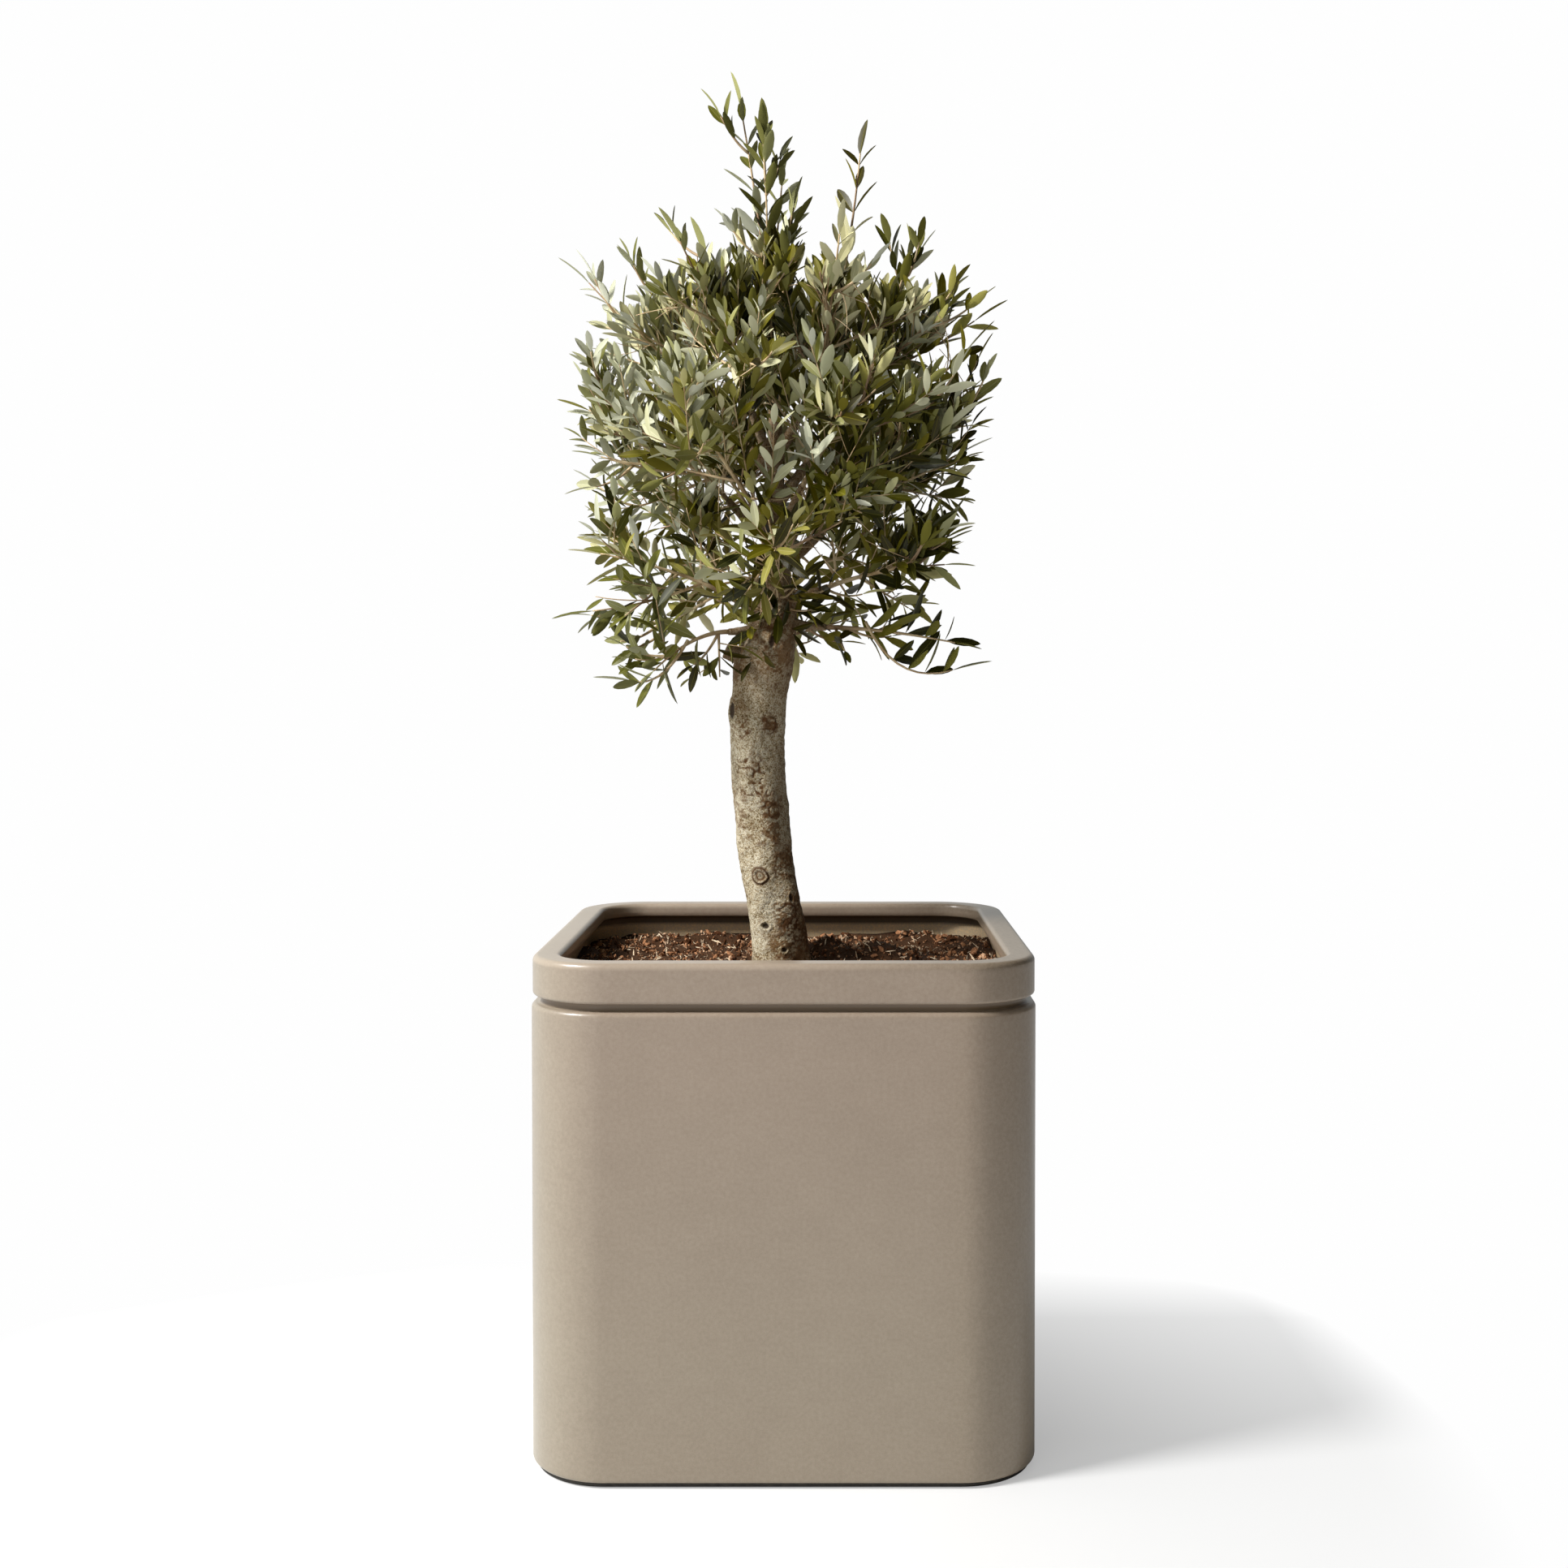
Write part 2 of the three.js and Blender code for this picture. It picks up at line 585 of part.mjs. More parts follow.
const finish = (color, roughness) => new THREE.MeshStandardMaterial({ color, roughness, metalness: 0 });
const planterFinish = finish(0xa3917d, 0.28);
const footFinish = finish(0x23241f, 0.6);
const soilFinish = finish(0x4a3322, 0.95);
const barkFinish = finish(0x8d8068, 0.85);
const foliageFinish = finish(0x6b7048, 0.55);

const group = new THREE.Group();

function addNode(name, geometry, material) {
  const mesh = new THREE.Mesh(geometry, material);
  mesh.name = name;
  group.add(mesh);
  return mesh;
}

addNode('planter', planterShell(), planterFinish);
addNode('planter_foot', loft([squareRing(FOOT_INSET, 0), squareRing(FOOT_INSET, FOOT_HEIGHT)]), footFinish);
addNode('soil', soilBlock(), soilFinish);

const trunk = solid(trunkGeometry()).add(solid(stubGeometry()));
const trunkCutter = solid(trunkGeometry(GAP));
addNode('trunk', geometryOf(largestPiece(trunk)), barkFinish);

const cutters = [trunkCutter];
let leafTotal = 0;
LIMBS.forEach((row, index) => {
  const bough = cutters.reduce((left, cutter) => left.subtract(cutter), solid(boughGeometry(row)));
  cutters.push(solid(boughGeometry(row, GAP)));
  addNode(`bough_${row.name}`, geometryOf(largestPiece(bough)), barkFinish);
  const mass = growMass(row, index);
  addNode(`foliage_${row.name}`, geometryOf(largestPiece(mass.solid)), foliageFinish);
  leafTotal += mass.leaves;
});
group.userData.leaves = leafTotal;

export default group;
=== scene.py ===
import math

import bpy
import numpy as np
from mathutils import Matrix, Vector


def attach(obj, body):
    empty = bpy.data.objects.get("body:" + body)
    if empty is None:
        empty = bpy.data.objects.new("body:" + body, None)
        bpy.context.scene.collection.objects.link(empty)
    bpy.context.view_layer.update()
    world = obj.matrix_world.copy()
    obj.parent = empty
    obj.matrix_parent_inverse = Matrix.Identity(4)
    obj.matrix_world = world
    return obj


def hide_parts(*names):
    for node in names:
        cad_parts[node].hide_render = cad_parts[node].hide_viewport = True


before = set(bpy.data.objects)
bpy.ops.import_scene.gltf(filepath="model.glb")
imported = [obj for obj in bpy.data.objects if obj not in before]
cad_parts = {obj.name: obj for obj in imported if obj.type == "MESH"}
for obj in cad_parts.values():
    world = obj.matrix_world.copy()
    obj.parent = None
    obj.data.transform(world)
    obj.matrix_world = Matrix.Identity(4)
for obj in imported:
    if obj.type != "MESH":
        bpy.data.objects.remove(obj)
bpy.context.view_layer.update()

# Potted olive tree. Sizes are in millimetres until a mesh is made, which turns them into metres.
print("frame loaded:", len(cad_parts), "nodes")


# Shader maths
class Wire:
    # one output socket; sums, differences and products with wires or numbers become Math nodes
    def __init__(self, nodes, socket):
        # the tree that new nodes go into, and the socket itself
        self.nodes = nodes
        self.socket = socket

    def combine(self, operation, left, right):
        # left and right, each a wire or a number, through one Math node
        return self.nodes.add("ShaderNodeMath", {"operation": operation}, {0: left, 1: right})

    def __add__(self, other):
        return self.combine("ADD", self, other)

    def __radd__(self, other):
        return self.combine("ADD", other, self)

    def __rsub__(self, other):
        return self.combine("SUBTRACT", other, self)

    def __mul__(self, other):
        return self.combine("MULTIPLY", self, other)

    def __rmul__(self, other):
        return self.combine("MULTIPLY", other, self)


class Nodes:
    # a node tree, of the sky or of a material; every new node comes from add
    def __init__(self, tree):
        self.tree = tree

    def add(self, kind, settings=None, inputs=None, out=0):
        # a node of any kind: its settings first, then the values or links of its sockets
        node = self.tree.nodes.new(kind)
        for key, value in (settings or {}).items():
            if key == "stops":
                self.rampStops(node.color_ramp, value)
            else:
                setattr(node, key, value)
        for key, value in (inputs or {}).items():
            self.plug(node.inputs[key], value)
        return Wire(self, node.outputs[out])

    def rampStops(self, ramp, stops):
        # stops are (place, colour) pairs, from left to right
        while len(ramp.elements) < len(stops):
            ramp.elements.new(0.5)
        for element, (place, colour) in zip(ramp.elements, stops):
            element.position = place
            element.color = (*colour, 1.0)

    def plug(self, socket, value):
        # a link from a wire; a colour gets an alpha of 1; anything else is the socket's value
        if isinstance(value, Wire):
            self.tree.links.new(value.socket, socket)
        elif hasattr(value, "__len__") and len(value) == 3 and len(socket.default_value) == 4:
            socket.default_value = (*value, 1.0)
        else:
            socket.default_value = value

    def span(self, value, low, high, start=0.0, end=1.0):
        # value carried from low..high to start..end, held at both ends
        return self.add("ShaderNodeMapRange", None, {0: value, 1: low, 2: high, 3: start, 4: end})

    def part(self, vector, number):
        # one number of a vector: 0 across, 1 back, 2 up
        return self.add("ShaderNodeSeparateXYZ", None, {0: vector}, out=number)


class Finish(Nodes):
    # one material: a Principled shader whose sockets take numbers, colours or wires
    def __init__(self, name, **sockets):
        self.material = bpy.data.materials.new(name)
        self.material.use_nodes = True
        super().__init__(self.material.node_tree)
        self.shader = self.tree.nodes["Principled BSDF"]
        self.set(**sockets)

    def set(self, **sockets):
        # keyword names stand for socket names: baseColor is Base Color
        for key, value in sockets.items():
            words = "".join(" " + letter if letter.isupper() else letter for letter in key)
            self.plug(self.shader.inputs[words.title().replace("Ior", "IOR")], value)

    def place(self, scale=(1.0, 1.0, 1.0)):
        # Object coordinates in metres, times a scale for each axis
        spot = self.add("ShaderNodeTexCoord", out=3)
        return self.add("ShaderNodeVectorMath", {"operation": "MULTIPLY"}, {0: spot, 1: scale})

    def noise(self, scale, detail=3.0, roughness=0.55, stretch=(1.0, 1.0, 1.0)):
        # noise around 0.5, with so many waves to a metre
        spot = self.place(stretch)
        return self.add("ShaderNodeTexNoise", None,
                        {"Vector": spot, "Scale": scale, "Detail": detail, "Roughness": roughness})

    def ramp(self, value, stops):
        # the colour at the value's place between the stops
        return self.add("ShaderNodeValToRGB", {"stops": stops}, {"Fac": value})

    def blend(self, share, first, second):
        # colours mixed by a share from 0 to 1
        return self.add("ShaderNodeMix", {"data_type": "RGBA"}, {0: share, 6: first, 7: second}, out=2)

    def bump(self, height, distance, strength):
        # a normal tilted as if the surface rose by height * distance
        sockets = {"Height": height, "Distance": distance, "Strength": strength}
        return self.add("ShaderNodeBump", None, sockets)

    def attribute(self, name):
        # a number stored at the mesh's points
        return self.add("ShaderNodeAttribute", {"attribute_name": name}, out=2)


def linear(red, green, blue):
    # an sRGB colour of 0..255 as the numbers that shaders work in
    shares = [value / 255 for value in (red, green, blue)]
    return tuple(v / 12.92 if v <= 0.04045 else ((v + 0.055) / 1.055) ** 2.4 for v in shares)


# Meshes from arrays
def gridFaces(rows, columns):
    # two triangles for each cell of a rows x columns grid, whose last column joins the first
    r, c = np.meshgrid(np.arange(rows - 1), np.arange(columns), indexing="ij")
    a = r * columns + c
    b = r * columns + (c + 1) % columns
    return np.stack([a, b, b + columns, a, b + columns, a + columns], -1).reshape(-1, 3)


def repeated(faces, step, count):
    # the faces of one shape for count shapes, whose points follow each other by step
    return (faces[None] + (np.arange(count) * step)[:, None, None]).reshape(-1, 3)


def makePiece(name, points, faces, materials, materialIndex=None, slot=None, smooth=True, layers=None):
    # points in millimetres (n, 3); faces are triangles (m, 3) that point outwards
    mesh = bpy.data.meshes.new(name)
    mesh.vertices.add(len(points))
    mesh.vertices.foreach_set("co", (np.asarray(points, float) * 0.001).ravel())
    mesh.loops.add(len(faces) * 3)
    mesh.loops.foreach_set("vertex_index", np.asarray(faces).ravel().astype(np.int32))
    mesh.polygons.add(len(faces))
    mesh.polygons.foreach_set("loop_start", np.arange(len(faces), dtype=np.int32) * 3)
    for finish in materials:
        mesh.materials.append(finish.material)
    if materialIndex is not None:
        mesh.polygons.foreach_set("material_index", np.asarray(materialIndex, np.int32))
    mesh.polygons.foreach_set("use_smooth", np.full(len(faces), smooth))
    for key, values in (layers or {}).items():
        mesh.attributes.new(key, "FLOAT", "POINT").data.foreach_set("value", np.asarray(values, np.float32))
    mesh.update(calc_edges=True)
    mesh.validate()
    piece = bpy.data.objects.new(name, mesh)
    bpy.context.scene.collection.objects.link(piece)
    if slot:
        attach(piece, "root")
    return piece


def unit(vectors):
    # vectors brought to a length of 1
    return vectors / np.maximum(np.linalg.norm(vectors, axis=-1, keepdims=True), 1e-9)


def lattice(cells, seed):
    # a repeatable number from 0 to 1 for each whole-number cell
    bits = ((cells * (374761393, 668265263, 2147483647)).sum(-1) + seed * 974711) & 0xFFFFFFFF
    bits = ((bits ^ (bits >> 13)) * 1274126177) & 0xFFFFFFFF
    return ((bits ^ (bits >> 16)) & 0xFFFFFF) / 0xFFFFFF


def valueNoise(points, size, seed=0):
    # lattice numbers blended smoothly between cell corners size apart, from -1 to 1
    scaled = np.asarray(points) / np.asarray(size)
    cell = np.floor(scaled).astype(np.int64)
    part = scaled - cell
    part = part * part * (3 - 2 * part)
    total = 0
    for corner in np.ndindex(2, 2, 2):
        weight = np.abs(1 - np.array(corner) - part).prod(-1)
        total = total + weight * lattice(cell + corner, seed)
    return total * 2 - 1


def smoothStep(value, low, high):
    # 0 up to low, 1 from high, and 3 s^2 - 2 s^3 between them
    share = np.clip((value - low) / (high - low), 0, 1)
    return share * share * (3 - 2 * share)


def bell(value, middle, width):
    # 1 at the middle, falling off as e^-s^2
    return np.exp(-((value - middle) / width) ** 2)


def mixed(limits, share):
    # from the first limit to the second as the share goes from 0 to 1
    return limits[0] + (limits[1] - limits[0]) * share


# Camera, light and floor
viewSettings = {
    "eye": (0.0416, -1.997, 0.7773),
    "pitchDown": 1.2,  # degrees
    "lens": 42.245,
    "shift": (-0.0266, -0.0428),
}
bpy.context.scene.view_settings.view_transform = "Standard"
bpy.context.scene.view_settings.look = "None"
cameraData = bpy.data.cameras.new("camera")
cameraData.lens = viewSettings["lens"]
cameraData.sensor_width = 36
cameraData.shift_x, cameraData.shift_y = viewSettings["shift"]
cameraData.clip_end = 60
camera = bpy.data.objects.new("camera", cameraData)
camera.location = viewSettings["eye"]
camera.rotation_euler = (math.radians(90 - viewSettings["pitchDown"]), 0, 0)
bpy.context.scene.collection.objects.link(camera)
bpy.context.scene.camera = camera

lightSettings = {
    "sky": (-0.9, 0.4, 0.9, 0.01),  # from left to right: two places, then the light there
    "skyBehind": (0.5, 1.0, 0.0, 0.5),  # and more of it from behind
    "skyColour": (0.97, 1.0, 0.99),
    "shadowLift": 0.35,
    "bounce": (-1.0, 1.4, 0.8, 0.07),  # light that the far floor gives back, from left to right
    "shown": 0.992,  # brightness of the plain backdrop
    # the floor turns into the backdrop in these stretches, in metres from the planter's middle
    "fadeRound": (0.62, 1.05), "fadeBack": (-0.13, 1.10), "endBack": (0.22, 0.62),
    "fadeRight": (0.14, 1.70), "endRight": (0.58, 0.85),
    "key": {"at": (-2.1, -1.08, 2.75), "size": 0.75, "power": 150},
    "front": {"at": (-1.2, -3.2, 0.7), "size": 1.4, "power": 5},
}
world = bpy.data.worlds.new("studio")
bpy.context.scene.world = world
world.use_nodes = True
sky = Nodes(world.node_tree)
backdrop = sky.tree.nodes["Background"]
towards = sky.add("ShaderNodeTexCoord")
leftToRight = sky.span(sky.part(towards, 0), *lightSettings["sky"])
fromBehind = sky.span(sky.part(towards, 1), *lightSettings["skyBehind"])
sky.plug(backdrop.inputs["Strength"], leftToRight + fromBehind)
sky.plug(backdrop.inputs["Color"], lightSettings["skyColour"])
plain = sky.add("ShaderNodeBackground", None, {"Color": (1, 1, 1), "Strength": lightSettings["shown"]})
seen = sky.add("ShaderNodeLightPath")
choice = sky.add("ShaderNodeMixShader", None, {0: seen, 1: Wire(sky, backdrop.outputs[0]), 2: plain})
sky.plug(sky.tree.nodes["World Output"].inputs[0], choice)


def addLamp(name, at, size, power, target=(0, 0, 0.7), colour=(1, 0.99, 0.975)):
    # a round lamp that looks at the target
    data = bpy.data.lights.new(name, "AREA")
    data.shape = "DISK"
    data.size = size
    data.energy = power
    data.color = colour
    lamp = bpy.data.objects.new(name, data)
    lamp.location = at
    lamp.rotation_euler = (Vector(target) - Vector(at)).to_track_quat("-Z", "Y").to_euler()
    bpy.context.scene.collection.objects.link(lamp)


addLamp("key_light", **lightSettings["key"])
addLamp("front_light", **lightSettings["front"])

paper = Finish("floor_paper", baseColor=(0.88, 0.88, 0.88), roughness=0.9, specularIorLevel=0.1)
# the paper turns into the backdrop with distance, sooner to the back and to the far right
afar = paper.add("ShaderNodeVectorMath", {"operation": "LENGTH"}, {0: paper.place()}, out=1)
across = paper.part(paper.place(), 0)
deep = paper.part(paper.place(), 1)
fades = ((afar, "fadeRound"), (deep, "fadeBack"), (deep, "endBack"),
         (across, "fadeRight"), (across, "endRight"))
away = paper.span(sum(paper.span(value, *lightSettings[name]) for value, name in fades), 0.0, 1.0)
glow = paper.add("ShaderNodeEmission", None, {"Color": (1, 1, 1), "Strength": lightSettings["shown"]})
seen = paper.add("ShaderNodeLightPath")
lift = lightSettings["shadowLift"] + (1 - lightSettings["shadowLift"]) * away
bounce = paper.span(across, *lightSettings["bounce"])
shares = lift * seen + away * bounce * (1 - seen)
matt = Wire(paper, paper.shader.outputs[0])
joined = paper.add("ShaderNodeMixShader", None, {0: shares, 1: matt, 2: glow})
paper.plug(paper.tree.nodes["Material Output"].inputs[0], joined)
floorGrid = np.array([[-14000, -6000, 0], [14000, -6000, 0], [14000, 22000, 0], [-14000, 22000, 0]])
floor = makePiece("floor", floorGrid, np.array([[0, 1, 2], [0, 2, 3]]), [paper], smooth=False)
print("camera, light and floor done")


# Planter
planterForm = {
    "width": 500.0, "corner": 78.0, "foot": 5.0, "top": 505.0, "rimDrop": 39.0, "rimInset": 1.0,
    "grooveHeight": 8.0, "grooveDepth": 9.0, "lipWidth": 28.0, "lipDepth": 15.0, "wall": 14.0,
    "floor": 22.0, "cornerSteps": 22, "sideSteps": 10,
}


def squareRings(insets, heights, form=planterForm):
    # rounded square: quarter circles of radius corner - inset, joined by straight sides, one ring a height
    insets = np.asarray(insets, float)[:, None, None]
    radius = np.maximum(form["corner"] - insets, 8)
    reach = form["width"] / 2 - insets - radius
    quarter = np.linspace(0, math.pi / 2, form["cornerSteps"] + 1)
    side = np.linspace(0, 1, form["sideSteps"] + 1)[1:-1, None]
    signs = np.array([(1, 1), (-1, 1), (-1, -1), (1, -1)])
    stretches = []
    for turn in range(4):
        angle = turn * math.pi / 2 + quarter
        arc = signs[turn] * reach + radius * np.stack([np.cos(angle), np.sin(angle)], 1)
        last = (turn + 1) * math.pi / 2
        after = signs[turn - 3] * reach + radius * np.array([math.cos(last), math.sin(last)])
        stretches += [arc, arc[:, -1:] + (after - arc[:, -1:]) * side]
    flat = np.concatenate(stretches, 1)
    levels = np.asarray(heights, float)[:, None, None] + np.zeros_like(flat[..., :1])
    return np.concatenate([flat, levels], -1)


def roundEdge(inset, z, radius, start, end, steps=8):
    # an arc of a small circle in the wall's profile, as (inset, height) rows
    angle = np.radians(np.linspace(start, end, steps + 1))
    return np.stack([inset - radius * np.cos(angle), z + radius * np.sin(angle)], 1)


def fanned(rows, columns):
    # faces of rows x columns points in closed rings, and a fan to one point more at each end
    near = np.arange(columns)
    after = (near + 1) % columns
    base = (rows - 1) * columns
    return np.concatenate([
        gridFaces(rows, columns),
        np.stack([np.full(columns, rows * columns), after, near], 1),
        np.stack([np.full(columns, rows * columns + 1), base + near, base + after], 1),
    ])


def closedRings(rings):
    # rings lofted in order, with both ends closed by a fan to their middle
    points = np.concatenate([rings.reshape(-1, 3), rings[:1].mean(1), rings[-1:].mean(1)])
    return points, fanned(*rings.shape[:2])


def planterProfile(form=planterForm):
    # the wall's outline as (inset, height) rows: up the outside, over the rim and down the inside
    top, rim, groove, wall = form["top"], form["rimInset"], form["grooveDepth"], form["wall"]
    foot, inside = form["foot"], rim + form["lipWidth"]
    rimBase, lipBase = top - form["rimDrop"], top - form["lipDepth"]
    bodyTop = rimBase - form["grooveHeight"]
    return np.concatenate([
        roundEdge(4, foot + 4, 4, -90, 0, 6),
        np.stack([np.zeros(14), np.linspace(foot + 8, bodyTop - 9, 14)], 1),
        roundEdge(5, bodyTop - 5, 5, 0, 85, 8),
        [[groove - 1, bodyTop + 0.2], [groove, bodyTop + 1.2]],
        [[groove, rimBase - 0.8], [groove - 0.5, rimBase]],
        roundEdge(rim + 3, rimBase + 3, 3, -85, 0, 6),
        [[rim, rimBase + 8], [rim, rimBase + 19], [rim, top - 9]],
        roundEdge(rim + 6, top - 6, 6, 0, 90, 10),
        [[rim + 9, top], [inside - 9, top]],
        roundEdge(inside - 5, top - 5, 5, 90, 180, 8),
        [[inside, top - 9], [inside, lipBase + 1], [inside - 1, lipBase], [wall + 1, lipBase - 2.4]],
        [[wall, height] for height in (lipBase - 4, 481, 477, 440, 200, foot + form["floor"])],
    ])


glazeTones = {
    "upper": ((140, 123, 107), (149, 132, 116)), "lower": ((138, 125, 107), (146, 133, 115)),
    # the right side's and the rim top's right tones are painted shade; the left side's and the rim top's left
    # tones painted light
    "right": (122, 104, 78), "left": (141, 134, 119), "rimRightPaintedShade": (96, 84, 64), "rimLeftPaintedLight": (176, 160, 142),
    # the inside's tones are lighter as painted light and speckled as dust
    "speck": (178, 164, 146), "stain": (118, 102, 86), "dust": ((182, 162, 134), (206, 178, 136)),
    # the groove tone is painted shade and the under-lip tone a painted shadow
    "groove": (112, 92, 68), "paintedShadowUnderLip": (46, 36, 24),
}


def glazeFinish():
    # warm grey-beige glaze: slow cloudy tone, a little greener below as a painted reflection, faint mottling,
    # a soft waviness in the gloss; painted shade darkens the right side, the rim top's right and the groove,
    # with a painted shadow under the lip, and painted light brightens the left side and the rim top's left;
    # the inside is browner and lighter, with dust and painted light
    glaze = Finish("planter_glaze")
    tone = {key: [linear(*c) for c in value] if len(np.shape(value)) == 2 else linear(*value)
            for key, value in glazeTones.items()}
    cloud = glaze.noise(5.0, 3.0, 0.5)
    mottle = glaze.noise(260.0, 4.0, 0.6)
    height = glaze.part(glaze.place(), 2)
    upper = glaze.blend(glaze.span(cloud, 0.1, 0.9), *tone["upper"])
    lower = glaze.blend(glaze.span(cloud, 0.1, 0.9), *tone["lower"])
    # greener towards the bottom: a painted reflection
    body = glaze.blend(glaze.span(height, 0.12, 0.42), lower, upper)
    across = glaze.part(glaze.place(), 0)
    # painted shade: the right side darker and browner
    body = glaze.blend(glaze.span(across, 0.14, 0.25) * 0.45, body, tone["right"])
    # painted sheen: the left side lighter and greyer
    body = glaze.blend(glaze.span(across, -0.17, -0.25) * 0.8, body, tone["left"])
    # painted shade on the rim top's right
    onRim = glaze.span(height, 0.495, 0.503) * glaze.span(across, 0.0, 0.2)
    body = glaze.blend(onRim * 0.5, body, tone["rimRightPaintedShade"])
    # painted light on the rim top's left
    onRim = glaze.span(height, 0.498, 0.5) * glaze.span(across, 0.15, 0.0)
    body = glaze.blend(onRim * 0.4, body, tone["rimLeftPaintedLight"])
    speck = glaze.noise(900.0, 2.0, 0.6)
    specks = glaze.span(mottle, 0.35, 0.65) * 0.22 + glaze.span(speck, 0.4, 0.7) * 0.14
    body = glaze.blend(specks, body, tone["speck"])
    stains = glaze.noise(34.0, 5.0, 0.65, (1, 1, 1.6))
    body = glaze.blend(glaze.span(stains, 0.35, 0.68) * 0.12, body, tone["stain"])
    # the inside's lighter tones and speckles are dust and painted light
    dust = glaze.noise(520.0, 3.0, 0.6)
    inner = glaze.blend(glaze.span(dust, 0.45, 0.62), *tone["dust"])
    body = glaze.blend(glaze.attribute("inner"), body, inner)
    # painted shade in the groove
    body = glaze.blend(glaze.attribute("groove"), body, tone["groove"])
    # painted shadow under the lip
    body = glaze.blend(glaze.attribute("shade"), body, tone["paintedShadowUnderLip"])
    glaze.set(baseColor=body, roughness=glaze.span(cloud, 0.0, 1.0, 0.28, 0.37), specularIorLevel=0.6)
    waves = glaze.noise(6.0, 0.0, 0.0) + mottle * 0.012
    glaze.set(normal=glaze.bump(waves, 0.0014, 0.3))
    return glaze


profile = planterProfile()
rings = squareRings(profile[:, 0], profile[:, 1])
points, faces = closedRings(rings)
inset, height = profile.T
rimBase = planterForm["top"] - planterForm["rimDrop"]
# rows of the groove, which take painted shade
paintedShadeInGroove = (inset > 3.5) & (inset < 10) & (abs(height - rimBase + 3.6) < 4.2)
inside = (inset > planterForm["wall"] - 1) & (height < planterForm["top"] - planterForm["lipDepth"] + 0.5)
# rows just under the lip, which take a painted shadow
paintedShadowUnderLip = inside & (height > 480)


def allRound(rows):
    # a row's number for every point of its ring, and 0 for the middles of the closed ends
    return np.concatenate([np.repeat(np.asarray(rows, float), rings.shape[1]), [0, 0]])


layers = {"groove": allRound(paintedShadeInGroove) * 0.9, "inner": allRound(inside), "shade": allRound(paintedShadowUnderLip) * 0.9}
planter = makePiece("planter_shell", points, faces, [glazeFinish()], slot="planter_finish", layers=layers)
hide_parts("planter")

footProfile = np.array([[6.5, 0.0], [5.2, 0.6], [5, 2.5], [5, planterForm["foot"]]])
points, faces = closedRings(squareRings(footProfile[:, 0], footProfile[:, 1]))
rubber = Finish("foot_rubber", roughness=0.7)
worn = rubber.span(rubber.noise(220.0), 0.3, 0.7)
rubber.set(baseColor=rubber.blend(worn, linear(34, 32, 28), linear(52, 48, 42)))
foot = makePiece("foot_ring", points, faces, [rubber], slot="foot")
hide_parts("planter_foot")
print("planter done")


# Trunk's middle line and thickness, shared by soil, bark and foliage
trunkForm = {
    "soilTop": 459.0, "forkHeight": 868.0, "footX": -7.0, "bend": 26.0, "bendPower": 1.35, "sway": 5.0,
    "radius": 29.0, "flare": 5.0, "flareHeight": 26.0, "narrowing": 9.0, "narrowFrom": 810.0,
    "collar": 3.5, "collarHeight": 795.0, "collarSpread": 26.0,
    "stubRoot": 790.0, "stubTip": (-66.0, -10.0, 808.0), "stubRadius": (13.0, 9.0),
}


def trunkCentre(z, form=trunkForm):
    # middle line: a sideways bow of one half wave, and a slight one towards the back
    z = np.asarray(z, float)
    up = (z - form["soilTop"]) / (form["forkHeight"] - form["soilTop"])
    bow = np.sin(math.pi * np.clip(up, 0, 1) ** form["bendPower"])
    return np.stack([form["footX"] - form["bend"] * bow, form["sway"] * np.sin(math.pi * 1.4 * up), z], -1)


def trunkRadius(z, form=trunkForm):
    # even stem, plus the root flare, the collar under the fork and the narrowing above it
    z = np.asarray(z, float)
    flare = form["flare"] * np.exp(-(z - form["soilTop"]) / form["flareHeight"])
    collar = form["collar"] * bell(z, form["collarHeight"], form["collarSpread"])
    narrowing = form["narrowing"] * smoothStep(z, form["narrowFrom"], form["forkHeight"])
    return form["radius"] + flare + collar - narrowing


# Soil
soilForm = {
    "top": 459.0, "lump": 7.0, "seat": 66.0, "bank": 6.0, "seed": 21,
    # each mound: x, y, height and width
    "mounds": [(40, 58, 29, 40), (104, 74, 14, 34), (-86, 66, 9, 52), (30, -90, 7, 60)],
    "crumbs": 9400, "crumbSize": (0.7, 4.0), "crumbSpread": (0.34, 0.50), "besideTrunk": 34,
    "kinds": (0.29, 0.38, 0.22, 0.11),  # shares of dark, brown, tan and pale crumbs
}


def soilHeight(x, y, form=soilForm):
    # long lumps shared with the solid, then mounds, a bank along the wall and two finer octaves
    waves = np.sin(x / 31 + 0.6) * np.cos(y / 27) + 0.6 * np.sin(x / 13 + y / 17 + 2)
    waves = waves + 0.5 * np.cos(y / 11 - x / 23)
    foot = trunkCentre(form["top"])
    away = np.hypot(x - foot[0], y - foot[1])
    clear = smoothStep(away, form["seat"] - 30, form["seat"] + 30)
    flat = np.stack([x, y, np.zeros_like(x)], -1)
    fine = 2.8 * valueNoise(flat, 14, 5) + 1.6 * valueNoise(flat, 5.5, 6)
    heap = form["bank"] * smoothStep(np.maximum(np.abs(x), np.abs(y)), 150, 225)
    for middleX, middleY, high, wide in form["mounds"]:
        heap = heap + high * np.exp(-((x - middleX) ** 2 + (y - middleY) ** 2) / wide ** 2)
    return form["top"] + clear * form["lump"] * waves * 0.6 + heap + fine


def soilFinish(name, dark, light):
    # rough earth: two tones in fine grains, which also make its bump
    soil = Finish(name, roughness=0.95, specularIorLevel=0.2)
    grain = soil.noise(420.0, 4.0, 0.65)
    soil.set(baseColor=soil.blend(soil.span(grain, 0.3, 0.7), linear(*dark), linear(*light)))
    soil.set(normal=soil.bump(grain, 0.0015, 0.7))
    return soil


